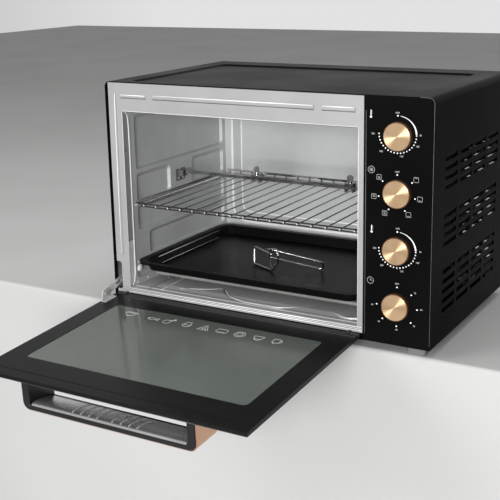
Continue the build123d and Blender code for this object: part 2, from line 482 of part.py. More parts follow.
# ------------------------------------------------------------ wire rack
FR, CR = 1.15, 1.0
RX0, RX1 = 34.6, 430.9
SR0, SR1 = 45.0, 421.0             # side rails
ry0, ry1 = 22.0, 281.0
zc = RACK_Z - FR - CR              # cross wires pass between the front rails
front_hi = cx(RX0, RX1, ry0, RACK_Z, FR)
rear_hi = cx(RX0, RX1, ry1, RACK_Z, FR)
front_lo = cx(SR0 - 1, SR1 + 1, ry0, zc - FR - CR, FR)
sides = [cy(ry0, ry1, x, RACK_Z, FR) - [front_hi, rear_hi] for x in (SR0, SR1)]
stop_y = ry1 + FR + 2 * CR
stop_rail = cx(SR0 - 1, SR1 + 1, stop_y + FR + CR, RACK_Z + 6.2, FR)
save("rack_frame", [front_hi, rear_hi, front_lo, stop_rail] + sides)
save("rack_wires", [wire([(51.0 + 22.9 * i, ry0 - 3.0, zc), (51.0 + 22.9 * i, stop_y, zc), (51.0 + 22.9 * i, stop_y, RACK_Z + 6.8)], CR, 2.6)
                    for i in range(17)])

# ------------------------------------------------------------ baking tray
tx0, tx1, ty0, ty1 = 35.4, 430.4, 5.0, 285.0


def tray_tub(inset, z_bot):
    sk = rr(tx0 + 9 + inset, tx1 - 9 - inset, ty0 + 9 + inset, ty1 - 9 - inset, 20 - inset)
    return extrude(Plane(origin=(0, 0, TRAY_RIM_Z), x_dir=(1, 0, 0), z_dir=(0, 0, -1)) * (
        Pos((tx0 + tx1) / 2, -(ty0 + ty1) / 2) * RectangleRounded(tx1 - tx0 - 18 - 2 * inset, ty1 - ty0 - 18 - 2 * inset, 20 - inset)),
        TRAY_RIM_Z - z_bot, taper=24)


tray = extrude(Plane(origin=(0, 0, TRAY_RIM_Z - 1)) * rr(tx0, tx1, ty0, ty1, 24), 1.0)
tray = tray + extrude(Plane(origin=(0, 0, TRAY_RIM_Z - 3.2)) * (rr(tx0, tx1, ty0, ty1, 24) - rr(tx0 + 1.4, tx1 - 1.4, ty0 + 1.4, ty1 - 1.4, 22.6)), 3.2)
tray = tray + tray_tub(-1.1, TRAY_Z)
tray = tray - tray_tub(0.0, TRAY_Z + 1.0)
save("baking_tray", tray)

# wire lifting tool in the tray: upright jaw, crossing spring eye, long loop handle
tz = TRAY_Z + 1.0 + 1.9
tool = wire([(240.0, 97.6, 90.0), (192.6, 123.6, 91.6), (194.6, 118.6, tz), (238.9, 97.6, tz)], 1.6, 3.2)
eye_a = wire([(237.6, 97.6, 99.4), (234.6, 97.6, 85.0), (236.0, 97.6, 74.5), (239.0, 97.6, tz - 0.2)], 1.5, 12.0)
eye_b = wire([(230.8, 97.6, 98.3), (246.9, 97.6, 101.0), (250.6, 97.6, 89.8), (249.2, 97.6, 79.0), (238.6, 97.6, tz - 0.2)], 1.5, 3.4)
grip_loop = wire([(234.4, 97.8, 85.8), (309.0, 138.6, tz), (312.0, 132.8, 77.6), (239.8, 97.8, 98.6)], 1.6, 4.6)
tool = fuse(tool, [eye_a, eye_b, grip_loop])
save("tray_tool", tool)

# ------------------------------------------------------------ door (drawn closed, then swung open)
sur = box(DX0, DX1, DY0 - 0.8, DY0, DZ0, DZ1)
sur = sur - xz(rr(WX0, WX1, WZ0, WZ1, 8), DY1, 0)
rimw = box(DX0, DX1, DY1 + 1.2, DY0 - 0.8, DZ0, DZ1) - box(DX0 + 2.4, DX1 - 2.4, DY1, 0, DZ0 + 2.4, DZ1 - 2.4)
sur = sur + rimw
sur = sur - box(DX0 - 1, DX1 + 1, DY0 - 0.35, DY0 + 1, DZ1 - 19, DZ1 + 1)
LUGS = ((9.6, 23.4), (422.6, 436.4))
TABS = ((23.9, 27.1), (418.9, 422.1))
for a, b in ((DX0 - 0.5, 28.0), (418.0, DX1 + 0.5)):
    sur = sur - box(a, b, DY1, 0.1, DZ0 - 1, DZ0 + 6.8)
sur = sur - [cy(DY0 - 3, 0, 14.5, z, 1.7) for z in (46.0, 66.0)]
save("door_surround", swing(sur))
glass = xz(rr(DX0 + 2.6, DX1 - 2.6, 44.0, DZ1 - 2.6, 4), -6.7, -2.85)
save("door_glass", swing(glass))
trim = box(DX0, DX1, DY1, DY1 + 1.15, DZ0, DZ1) - xz(rr(WX0 - 6, WX1 + 6, WZ0 - 6, WZ1 + 6, 12), DY1 - 1, 0)
for a, b in ((DX0 - 0.5, 28.0), (418.0, DX1 + 0.5)):
    trim = trim - box(a, b, DY1 - 1, 0.1, DZ0 - 1, DZ0 + 6.8)
HS = [(HX0 + 3.5, 310.0), (HX0 + 3.5, 330.0), (HX1 - 3.5, 310.0), (HX1 - 3.5, 330.0)]
trim = trim - [cy(DY1 - 1, DY1 + 2, x, z, 1.55) for x, z in HS]
save("door_trim", swing(trim))
lugs = []
for a, b in LUGS:
    g = cx(a, b, HINGE_Y, HINGE_Z, 2.9) + box(max(a, DX0 + 2.8), min(b, DX1 - 2.8), -6.5, -3.2, HINGE_Z, 42.0)
    lugs.append(swing(g - cx(a - 1, b + 1, HINGE_Y, HINGE_Z, 1.56)))
save("door_hinge_lugs", lugs)

# hinge tabs and pins on the base, reaching into the lugs
tabs = []
for (a, b), pin in zip(TABS, ((11.5, 24.5), (421.5, 434.5))):
    t = yz(poly((-8.0, 18.8), (0.1, 16.0), (0.1, 27.0), (-8.0, 27.0)), a, b)
    t = fillet(t.edges().filter_by(Axis.X).sort_by(Axis.Y)[:2], 2.5)
    tabs.append(t + cx(pin[0], pin[1], HINGE_Y, HINGE_Z, 1.5))
save("hinge_pins", tabs)

# arm bracket on the inner face of the door, with the rivet that carries the arm
brk = xz(poly((12.6, 42.0), (20.5, 42.0), (20.5, 70.0), (12.6, 70.0)), DY0, DY0 + 1.2)
brk = brk - [cy(DY0 - 0.5, 1, 16.5, z, 1.7) for z in (46.0, 66.0)]


def to_closed(y, z):
    """Open-pose point (y, z) in the closed door's coordinates."""
    t = radians(DOOR_OPEN)
    dy, dz = y - HINGE_Y, z - HINGE_Z
    return HINGE_Y + dy * cos(t) + dz * sin(t), HINGE_Z - dy * sin(t) + dz * cos(t)


ay, az = to_closed(ARM_Y, ARM_Z)
ear = yz(poly((DY0, 42.0), (ay + 5.5, az - 6.0), (ay + 5.5, az + 6.0), (DY0, 70.0)), 11.4, 12.6)
ear = fillet(ear.edges().filter_by(Axis.X).sort_by(Axis.Y)[-2:], 4.5)
rivet = cx(8.0, 11.4, ay, az, 2.2) + cx(7.0, 8.0, ay, az, 3.6)
save("door_arm_bracket", swing(brk + ear + rivet + cx(12.6, 13.4, ay, az, 3.4)))

# hinge arm: flat strip from the bracket through the slot in the frame
ca, sa = cos(radians(ARM_TILT)), sin(radians(ARM_TILT))
ARM_L = 62.0
arm = yz(Rectangle(ARM_L, 12.4, align=(Align.MIN, Align.CENTER)) + Circle(6.2) + Pos(ARM_L, 0) * Circle(6.2), 8.2, 11.0 - 1.0)
arm = arm - cx(7, 12, 0, 0, 2.3) - cx(7, 12, ARM_L, 0, 1.9) - yz(Pos(ARM_L - 24, 0) * RectangleRounded(16, 4, 1.9), 7, 12)
arm = arm.rotate(Axis((0, 0, 0), (1, 0, 0)), ARM_TILT)
save("hinge_arm", Pos(0, ARM_Y, ARM_Z) * arm)
ARM_END = (ARM_Y + ARM_L * ca, ARM_Z + ARM_L * sa)

# return spring: hooks on the arm's end and hangs from a lug on the arm guide
sp_top = 205.0
coil_pitch, coil_r, coil_w = 3.4, 4.0, 0.9
helix = Helix(pitch=coil_pitch, height=coil_pitch * 34, radius=coil_r)
h0 = ARM_END[1] + 14.0
coil = sweep(Plane(origin=helix @ 0, z_dir=helix % 0) * Circle(coil_w), path=helix)
coil = Pos(16.0, ARM_END[0], h0) * coil
hook_lo = wire([(16.0 + coil_r, ARM_END[0] + 0.3, h0 + 0.5), (16.0 + coil_r, ARM_END[0] + 0.3, ARM_END[1] + 0.4), (7.0, ARM_END[0] + 0.3, ARM_END[1] + 0.4)], 0.8, 3.0)
top_z = h0 + coil_pitch * 34
hook_hi = wire([(16.0 + coil_r, ARM_END[0] - 0.3, top_z - 0.5), (16.0 + coil_r, ARM_END[0] - 0.3, top_z + 12), (4.5, ARM_END[0] - 0.3, top_z + 12)], 0.8, 3.0)
save("door_spring", [coil + hook_lo + hook_hi])
guide = box(2.2, 3.4, 4.0, 34.0, FOOT_H + 14, top_z + 20) + box(3.4, 6.4, ARM_END[0] - 6, ARM_END[0] + 6, top_z + 13.2, top_z + 15.2)
save("arm_guide", guide)

# handle: black U with its ends on the door, copper cover round the outside
hu = extrude(Plane(origin=(0, 0, HZ0)) * (
    (rr(HX0, HX1, HY1, DY1 + 20, 10) - rr(HX0 + POST, HX1 - POST, HY1 + 6.5, DY1 + 20.5, 2.4)) & Pos(223, (HY1 + DY1) / 2 - 0.1) * Rectangle(400, DY1 - HY1 - 0.2)), HZ1 - HZ0)
hu = chamfer(hu.faces().filter_by(Axis.Z).edges(), 0.7)
# the bar thins towards its lower edge
by = HY1 + 6.5
hu = hu - yz(poly((by, 322.0), (by - 5.8, 289.5), (by + 12, 289.5), (by + 12, 322.0)), HX0 + POST, HX1 - POST)
hu = hu - [cy(DY1 - 14, DY1 + 1, x, z, 1.55) for x, z in HS]
save("handle_body", swing(hu))
cov_o = rr(HX0 - 1.3, HX1 + 1.3, HY1 - 1.3, DY1 + 20, 11.2)
cov_i = rr(HX0, HX1, HY1, DY1 + 22, 10)
cov = extrude(Plane(origin=(0, 0, HZ0 + 1.6)) * ((cov_o - cov_i) & Pos(223, (HY1 + DY1) / 2 - 1.2) * Rectangle(400, DY1 - HY1 + 1.2)), HZ1 - HZ0 - 3.2)
save("handle_cover", swing(cov))
# satin grip pad inside the bar: crowned near its upper edge, with two groups of four ribs
def grip_section(lift, z_far, z_near):
    crown = Spline((by, 339.3), (by + 2.3, 338.2), (by + 3.6, 335.2), (by + 3.9, 330.5), (by + 3.3, 324.0), (by + 1.6, 315.0), (by - 0.7, 306.0), (by - 2.9, 298.5))
    foot = Polyline((by - 2.9, 298.5), (by - 5.8 * 23.5 / 32.5, 298.5), (by, 322.0), (by, 339.3))
    face = make_face([crown, foot])
    if lift:
        face = (Pos(lift, 0) * face) & (Pos(by, (z_far + z_near) / 2) * Rectangle(30, z_near - z_far))
    return face


gx0, gx1 = HX0 + POST + 2.5, HX1 - POST - 2.5
grip = yz(grip_section(0, 0, 0), gx0, gx1)
rib_x = [167.0, 180.5, 194.0, 207.0, 231.5, 245.0, 258.5, 271.5]
ribs = [yz(grip_section(0.7, 299.5, 333.0), x - 0.9, x + 0.9) - yz(poly((by, 322.0), (by - 5.8, 289.5), (by - 20, 289.5), (by - 20, 340.0), (by, 340.0)), x - 2, x + 2) for x in rib_x]
save("handle_grip", swing(fuse(grip, ribs)))
save("handle_screws", [swing(cy(DY1 - 12, DY1 + 1.1, x, z, 1.5)) for x, z in HS])

# ------------------------------------------------------------ casing screws
cs = [screw("y", x, D + 1.5, z, sign=1, length=7) for x, z in ((22, 26.5), (200, 26.5), (340, 26.5), (518, 26.5), (12, 190), (528, 190), (60, 356), (270, 356), (480, 356))]
save("casing_screws", cs + foot_sc)
for x, z in ((22, 26.5), (200, 26.5), (340, 26.5), (518, 26.5), (12, 190), (528, 190), (60, 356), (270, 356), (480, 356)):
    parts["back_cover"] = parts["back_cover"] - cy(D - 0.5, D + 2, x, z, 2.05)
    parts["base_pan"] = parts["base_pan"] - cy(D - 2, D, x, z, 2.05)

# ------------------------------------------------------------ write the pieces
os.makedirs("parts", exist_ok=True)
lo, hi = [1e9] * 3, [-1e9] * 3
for name, shape in parts.items():
    group = shape if isinstance(shape, list) else [shape]
    solids = [s for g in group for s in g.solids()]
    solids = [s.moved(Location(SHIFT)) for s in solids]
    bb = Compound(solids).bounding_box()
    for i, (a, b) in enumerate(zip(bb.min, bb.max)):
        lo[i], hi[i] = min(lo[i], a), max(hi[i], b)
    print(f"{name:20s} solids {len(solids)} volume {sum(s.volume for s in solids):10.1f}")
    export_step(Compound(solids) if len(solids) > 1 else solids[0], f"parts/{name}.step")
print("pieces", len(parts))
print("box", [round(v, 3) for v in lo], [round(v, 3) for v in hi])
print("arm end (open)", ARM_END, "arm pivot closed", (ay, az), "spring top", top_z + 12)
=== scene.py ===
import math

import bpy
from mathutils import Matrix, Vector


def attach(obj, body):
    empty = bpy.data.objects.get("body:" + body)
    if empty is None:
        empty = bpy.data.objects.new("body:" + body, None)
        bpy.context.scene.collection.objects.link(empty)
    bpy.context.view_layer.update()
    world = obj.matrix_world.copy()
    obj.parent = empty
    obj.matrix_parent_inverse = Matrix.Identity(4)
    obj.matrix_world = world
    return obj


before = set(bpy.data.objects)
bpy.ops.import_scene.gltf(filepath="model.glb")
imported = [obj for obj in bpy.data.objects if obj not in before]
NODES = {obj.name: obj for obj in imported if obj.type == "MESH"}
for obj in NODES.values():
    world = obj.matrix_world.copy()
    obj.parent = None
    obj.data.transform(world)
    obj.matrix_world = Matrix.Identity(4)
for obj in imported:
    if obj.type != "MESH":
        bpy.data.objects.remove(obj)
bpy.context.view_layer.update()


# Working coordinates in mm: x = 0 at the left side, y = 0 at the front face, z = 0 at the soles.
SX, SY, SZ = -270.0, -9.729, 37.811


def M(x, y, z):
    return Vector(((x + SX) / 1000.0, (y + SY) / 1000.0, (z + SZ) / 1000.0))


# --------------------------------------------------------------- camera
YAW, PITCH, ROLL = math.radians(30.4058), math.radians(14.2142), math.radians(-1.1489)
d = Vector((-math.sin(YAW) * math.cos(PITCH), math.cos(YAW) * math.cos(PITCH), -math.sin(PITCH)))
right = d.cross(Vector((0, 0, 1))).normalized()
up = right.cross(d).normalized()
right2 = right * math.cos(ROLL) + up * math.sin(ROLL)
up2 = -right * math.sin(ROLL) + up * math.cos(ROLL)
cam_data = bpy.data.cameras.new("camera")
cam = bpy.data.objects.new("camera", cam_data)
bpy.context.scene.collection.objects.link(cam)
rot = Matrix((right2, up2, -d)).transposed()
cam.matrix_world = Matrix.Translation(M(1005.5, -1274.8, 545.9)) @ rot.to_4x4()
cam_data.sensor_width = 36.0
cam_data.lens = 1031.879 / 500.0 * 36.0
cam_data.shift_x = 0.0
cam_data.shift_y = -0.06
cam_data.clip_start = 0.01
cam_data.clip_end = 60.0
bpy.context.scene.camera = cam


# --------------------------------------------------------------- materials
def new_mat(name, color, rough, metal=0.0, spec=0.5, coat=0.0, coat_rough=0.1, aniso=0.0):
    m = bpy.data.materials.new(name)
    m.use_nodes = True
    nt = m.node_tree
    b = nt.nodes["Principled BSDF"]
    b.inputs["Base Color"].default_value = (*color, 1.0)
    b.inputs["Roughness"].default_value = rough
    b.inputs["Metallic"].default_value = metal
    b.inputs["Specular IOR Level"].default_value = spec
    b.inputs["Coat Weight"].default_value = coat
    b.inputs["Coat Roughness"].default_value = coat_rough
    b.inputs["Anisotropic"].default_value = aniso
    return m, nt, b


def coords(nt, scale, space="Object"):
    tc = nt.nodes.new("ShaderNodeTexCoord")
    mp = nt.nodes.new("ShaderNodeMapping")
    mp.inputs["Scale"].default_value = scale
    nt.links.new(tc.outputs[space], mp.inputs["Vector"])
    return mp.outputs["Vector"]


def noise(nt, vec, scale, detail=3.0, rough=0.55):
    n = nt.nodes.new("ShaderNodeTexNoise")
    n.inputs["Scale"].default_value = scale
    n.inputs["Detail"].default_value = detail
    n.inputs["Roughness"].default_value = rough
    nt.links.new(vec, n.inputs["Vector"])
    return n.outputs["Fac"]


def ramp(nt, fac, a, b, lo=0.35, hi=0.65):
    r = nt.nodes.new("ShaderNodeValToRGB")
    r.color_ramp.elements[0].position = lo
    r.color_ramp.elements[1].position = hi
    r.color_ramp.elements[0].color = (*a, 1.0)
    r.color_ramp.elements[1].color = (*b, 1.0)
    nt.links.new(fac, r.inputs["Fac"])
    return r.outputs["Color"]


def remap(nt, fac, lo, hi, a=0.3, b=0.7):
    r = nt.nodes.new("ShaderNodeMapRange")
    r.inputs["From Min"].default_value = a
    r.inputs["From Max"].default_value = b
    r.inputs["To Min"].default_value = lo
    r.inputs["To Max"].default_value = hi
    nt.links.new(fac, r.inputs["Value"])
    return r.outputs["Result"]


def bump(nt, b, fac, strength, dist=0.0002, chain=None):
    n = nt.nodes.new("ShaderNodeBump")
    n.inputs["Strength"].default_value = strength
    n.inputs["Distance"].default_value = dist
    nt.links.new(fac, n.inputs["Height"])
    if chain is not None:
        nt.links.new(chain, n.inputs["Normal"])
    nt.links.new(n.outputs["Normal"], b.inputs["Normal"])
    return n.outputs["Normal"]


def coated_black(name, tone, rough, spec=0.35, grain=900.0, grain_strength=0.12):
    m, nt, b = new_mat(name, (tone, tone, tone * 1.02), rough, 0.0, spec)
    v = coords(nt, (1, 1, 1))
    big = noise(nt, v, 6.0, 2.0)
    nt.links.new(remap(nt, big, rough - 0.04, rough + 0.05), b.inputs["Roughness"])
    nt.links.new(ramp(nt, big, (tone * 0.85,) * 3, (tone * 1.15,) * 3), b.inputs["Base Color"])
    fine = noise(nt, v, grain, 2.0)
    bump(nt, b, fine, grain_strength, 0.00005)
    return m


def satin_metal(name, lo, hi, rough, metal=0.85, grain=(1, 1, 1), scale=300.0, strength=0.1, cloud=5.0, spread=0.07, aniso=0.0):
    m, nt, b = new_mat(name, hi, rough, metal, 0.5, aniso=aniso)
    v = coords(nt, (1, 1, 1))
    big = noise(nt, v, cloud, 4.0, 0.6)
    nt.links.new(ramp(nt, big, lo, hi, 0.3, 0.7), b.inputs["Base Color"])
    nt.links.new(remap(nt, big, rough - spread, rough + spread), b.inputs["Roughness"])
    fine = noise(nt, coords(nt, grain), scale, 3.0)
    bump(nt, b, fine, strength, 0.00004)
    return m


M_CASE = coated_black("casing_enamel", 0.0016, 0.40, 0.024)
M_PANEL = coated_black("panel_lacquer", 0.0032, 0.42, 0.035, 1400.0, 0.05)
M_TRIM = coated_black("trim_lacquer", 0.0075, 0.30, 0.12, 1400.0, 0.04)
M_HANDLE = coated_black("handle_lacquer", 0.010, 0.30, 0.35, 1200.0, 0.06)
M_FRAME = satin_metal("frame_silver", (0.385, 0.388, 0.385), (0.44, 0.443, 0.44), 0.45, 0.30, (1, 1, 1), 700.0, 0.08, 8.0, 0.04)
M_CAVITY = satin_metal("cavity_aluminised", (0.42, 0.43, 0.425), (0.54, 0.55, 0.545), 0.54, 0.18, (1, 1, 1), 260.0, 0.10, 9.0, 0.05)
# the back wall and the floor are lighter copies of the walls' aluminised steel: painted light for the stronger light
# they get
M_BACKWALL_LIT = satin_metal("back_aluminised_painted_light", (0.54, 0.55, 0.55), (0.65, 0.66, 0.66), 0.46, 0.25, (1, 1, 1), 260.0, 0.10, 7.0, 0.06)
M_FLOORPAN_LIT = satin_metal("floor_aluminised_painted_light", (0.46, 0.47, 0.465), (0.56, 0.57, 0.565), 0.38, 0.35, (1, 1, 1), 260.0, 0.10, 8.0, 0.08)
M_GALV = satin_metal("galvanised", (0.42, 0.43, 0.44), (0.60, 0.61, 0.62), 0.42, 0.6, (1, 1, 1), 90.0, 0.12, 26.0, 0.1)
M_ZINC = satin_metal("zinc_plate", (0.50, 0.48, 0.43), (0.66, 0.64, 0.60), 0.34, 0.8, (1, 1, 1), 500.0, 0.15, 30.0, 0.06)
M_STEEL = satin_metal("steel_satin", (0.46, 0.46, 0.46), (0.62, 0.62, 0.62), 0.28, 0.9, (1, 1, 1), 500.0, 0.1, 20.0, 0.05)
M_CHROME = satin_metal("chrome_wire", (0.20, 0.20, 0.205), (0.44, 0.44, 0.445), 0.22, 1.0, (1, 1, 1), 900.0, 0.06, 60.0, 0.05)
M_RACK = satin_metal("rack_chrome", (0.13, 0.13, 0.13), (0.30, 0.30, 0.30), 0.22, 1.0, (1, 1, 1), 900.0, 0.06, 60.0, 0.05)
M_TOOL = satin_metal("tool_chrome", (0.50, 0.50, 0.51), (0.72, 0.72, 0.73), 0.16, 1.0, (1, 1, 1), 900.0, 0.06, 60.0, 0.05)
# near-white for painted highlights: thin lines and dots laid on crests, edges and wire ends
M_PAINTED_HIGHLIGHT = satin_metal("painted_highlight", (0.84, 0.84, 0.835), (0.93, 0.93, 0.925), 0.40, 0.1, (1, 1, 1), 500.0, 0.05, 40.0, 0.04)
# dark grey for painted shade in creases, grooves and along the ledge, for a painted highlight line on the door's black
# border, and as the spit bracket's colour
M_SHADE_AND_LINE_GREY = satin_metal("shade_and_line_grey", (0.10, 0.10, 0.102), (0.14, 0.14, 0.142), 0.5, 0.2, (1, 1, 1), 500.0, 0.05, 40.0, 0.04)
# grey for painted shade on the upper part of the mouth's turned-in flange
M_RETURN_SHADE = satin_metal("mouth_return_painted_shade", (0.20, 0.20, 0.20), (0.26, 0.26, 0.26), 0.42, 0.15, (1, 1, 1), 300.0, 0.08, 20.0, 0.05)
# dark grey for painted shade in the flange notches and for a painted highlight on the fold of the black casing side
M_NOTCH_SHADE_FOLD_HIGHLIGHT = coated_black("notch_shade_fold_highlight", 0.05, 0.4, 0.2)
# grey a little lighter than the door's black, for a painted highlight along the door's lower edge
M_DOOR_RIM_HIGHLIGHT = satin_metal("door_rim_highlight_grey", (0.055, 0.055, 0.055), (0.075, 0.075, 0.075), 0.4, 0.2, (1, 1, 1), 500.0, 0.05, 40.0, 0.04)
# light grey for painted highlights on the grip ribs and painted light on the lower part of the mouth's flange
M_PAINTED_LIGHT_GREY = satin_metal("painted_light_grey", (0.44, 0.44, 0.44), (0.54, 0.54, 0.54), 0.4, 0.2, (1, 1, 1), 500.0, 0.05, 40.0, 0.04)
# grey for a painted highlight along the black control panel's edge
M_PANEL_RIM_HIGHLIGHT = satin_metal("panel_rim_highlight_grey", (0.22, 0.22, 0.22), (0.28, 0.28, 0.28), 0.4, 0.2, (1, 1, 1), 500.0, 0.05, 40.0, 0.04)
M_HEATER = satin_metal("heater_tube", (0.24, 0.235, 0.225), (0.36, 0.355, 0.34), 0.42, 0.4, (1, 1, 1), 400.0, 0.15, 14.0, 0.08)
M_ARM = satin_metal("arm_zinc", (0.62, 0.61, 0.60), (0.82, 0.81, 0.80), 0.33, 0.6, (1, 1, 1), 600.0, 0.18, 40.0, 0.08)
M_GRIP = satin_metal("grip_satin", (0.60, 0.60, 0.605), (0.72, 0.72, 0.725), 0.27, 0.88, (1, 1, 1), 700.0, 0.08, 12.0, 0.05)
M_FOOT = coated_black("foot_rubber", 0.14, 0.6, 0.3, 600.0, 0.3)
M_DARKSTEEL = satin_metal("dark_steel", (0.030, 0.030, 0.031), (0.060, 0.060, 0.061), 0.40, 0.5, (1, 1, 1), 500.0, 0.1, 20.0, 0.05)
M_UNIT = satin_metal("unit_dull", (0.08, 0.08, 0.078), (0.13, 0.13, 0.125), 0.5, 0.4, (1, 1, 1), 300.0, 0.12, 20.0, 0.05)
# the heat shield is darkened to the shade inside the casing: painted shade
M_SHIELD_SHADE = satin_metal("shield_painted_shade", (0.07, 0.07, 0.07), (0.11, 0.11, 0.11), 0.6, 0.3, (1, 1, 1), 200.0, 0.1, 20.0, 0.05)
M_ENAMEL = coated_black("tray_enamel", 0.0040, 0.27, 0.045, 220.0, 0.05)


def ceramic_mat(name, col):
    m, nt, b = new_mat(name, col, 0.25, 0.0, 0.5)
    v = coords(nt, (1, 1, 1))
    n = noise(nt, v, 120.0, 3.0)
    nt.links.new(ramp(nt, n, tuple(c * 0.88 for c in col), col), b.inputs["Base Color"])
    bump(nt, b, n, 0.1, 0.0001)
    return m


def rack_mat():
    """Chrome of the rack, with painted shade making the rails across the front darker and a painted highlight on the
    rails behind them.
    """
    m, nt, b = new_mat("rack_rails_shade_and_highlight", (0.4, 0.4, 0.4), 0.24, 1.0, 0.5)
    sep = nt.nodes.new("ShaderNodeSeparateXYZ")
    nt.links.new(coords(nt, (1, 1, 1)), sep.inputs["Vector"])
    edge = remap(nt, sep.outputs["Y"], 0.0, 1.0, M(0, 25.0, 0).y, M(0, 29.0, 0).y)
    n = noise(nt, coords(nt, (1, 1, 1)), 50.0, 3.0)
    # painted shade for the front rails, painted highlight for the rails behind them
    painted_shade_front = ramp(nt, n, (0.10, 0.10, 0.10), (0.20, 0.20, 0.20), 0.3, 0.7)
    painted_highlight_rest = ramp(nt, n, (0.70, 0.70, 0.70), (0.90, 0.90, 0.90), 0.3, 0.7)
    mx = nt.nodes.new("ShaderNodeMix")
    mx.data_type = "RGBA"
    nt.links.new(edge, mx.inputs["Factor"])
    nt.links.new(painted_shade_front, mx.inputs["A"])
    nt.links.new(painted_highlight_rest, mx.inputs["B"])
    nt.links.new(mx.outputs["Result"], b.inputs["Base Color"])
    nt.links.new(remap(nt, n, 0.19, 0.30), b.inputs["Roughness"])
    bump(nt, b, noise(nt, coords(nt, (1, 1, 1)), 900.0, 2.0), 0.06, 0.00004)
    return m


M_RAILS = rack_mat()
M_CERAMIC = ceramic_mat("ceramic", (0.75, 0.73, 0.68))
M_IVORY = ceramic_mat("moulded_ivory", (0.68, 0.66, 0.60))


def copper_side_painted_shade():
    # the knob's side is a much darker copy of the face copper: painted shade
    m, nt, b = new_mat("copper_side_painted_shade", (0.16, 0.085, 0.045), 0.42, 0.8)
    v = coords(nt, (1, 40, 1))
    n = noise(nt, v, 60.0, 3.0)
    nt.links.new(ramp(nt, n, (0.13, 0.068, 0.036), (0.20, 0.11, 0.06)), b.inputs["Base Color"])
    bump(nt, b, n, 0.1, 0.00003)
    return m


M_COPPER_SIDE_SHADE = copper_side_painted_shade()


def copper_cover():
    m, nt, b = new_mat("copper_brushed", (0.62, 0.36, 0.24), 0.33, 1.0)
    v = coords(nt, (1, 80, 80))
    n = noise(nt, v, 60.0, 2.0)
    nt.links.new(ramp(nt, n, (0.62, 0.365, 0.245), (0.67, 0.405, 0.28), 0.2, 0.8), b.inputs["Base Color"])
    nt.links.new(remap(nt, n, 0.31, 0.36), b.inputs["Roughness"])
    bump(nt, b, n, 0.06, 0.00002)
    return m


M_COPPER = copper_cover()


def spun_copper(name, cx, cz):
    """Knob face: copper with fine circular turning marks; their sheen comes from the stretched highlight round the axis."""
    m, nt, b = new_mat(name, (0.84, 0.57, 0.34), 0.34, 0.74, 0.5, aniso=0.92)
    b.inputs["Anisotropic Rotation"].default_value = 0.25
    turned = nt.nodes.new("ShaderNodeTangent")
    turned.direction_type = "RADIAL"
    turned.axis = "Y"
    nt.links.new(turned.outputs["Tangent"], b.inputs["Tangent"])
    tc = nt.nodes.new("ShaderNodeTexCoord")
    mp = nt.nodes.new("ShaderNodeMapping")
    c = M(cx, 0, cz)
    mp.inputs["Location"].default_value = (-c.x, 0, -c.z)
    nt.links.new(tc.outputs["Object"], mp.inputs["Vector"])
    sep = nt.nodes.new("ShaderNodeSeparateXYZ")
    nt.links.new(mp.outputs["Vector"], sep.inputs["Vector"])
    flat = nt.nodes.new("ShaderNodeCombineXYZ")
    nt.links.new(sep.outputs["X"], flat.inputs["X"])
    nt.links.new(sep.outputs["Z"], flat.inputs["Z"])
    r2 = nt.nodes.new("ShaderNodeVectorMath")
    r2.operation = "LENGTH"
    nt.links.new(flat.outputs["Vector"], r2.inputs[0])
    ring = nt.nodes.new("ShaderNodeMath")
    ring.operation = "MULTIPLY"
    nt.links.new(r2.outputs["Value"], ring.inputs[0])
    ring.inputs[1].default_value = 9000.0
    si = nt.nodes.new("ShaderNodeMath")
    si.operation = "SINE"
    nt.links.new(ring.outputs[0], si.inputs[0])
    nt.links.new(ramp(nt, si.outputs[0], (0.74, 0.495, 0.285), (0.85, 0.595, 0.365), 0.0, 1.0), b.inputs["Base Color"])
    bump(nt, b, si.outputs[0], 0.10, 0.00001)
    return m


def print_white_glow(name, tone):
    m, nt, b = new_mat(name, (tone, tone, tone), 0.5, 0.0, 0.4)
    n = noise(nt, coords(nt, (1, 1, 1)), 800.0, 2.0)
    nt.links.new(ramp(nt, n, (tone * 0.9,) * 3, (tone,) * 3), b.inputs["Base Color"])
    # faint emission makes the print glow: painted light
    b.inputs["Emission Color"].default_value = (tone, tone, tone, 1)
    b.inputs["Emission Strength"].default_value = 0.12
    return m


M_PRINT = print_white_glow("print_white_glow", 0.86)
M_PRINT_GLASS = print_white_glow("print_glass_glow", 0.60)
M_PRINT_DIM = print_white_glow("print_fine_glow", 0.50)


def glass_mat():
    m = bpy.data.materials.new("tinted_glass")
    m.use_nodes = True
    nt = m.node_tree
    b = nt.nodes["Principled BSDF"]
    b.inputs["Base Color"].default_value = (0.20, 0.225, 0.20, 1)
    b.inputs["Roughness"].default_value = 0.13
    b.inputs["IOR"].default_value = 1.5
    b.inputs["Transmission Weight"].default_value = 0.55
    v = coords(nt, (1, 1, 1))
    n = noise(nt, v, 3.0, 2.0)
    nt.links.new(remap(nt, n, 0.11, 0.16), b.inputs["Roughness"])
    nt.links.new(ramp(nt, n, (0.17, 0.19, 0.172), (0.21, 0.235, 0.212)), b.inputs["Base Color"])
    return m


M_GLASS = glass_mat()

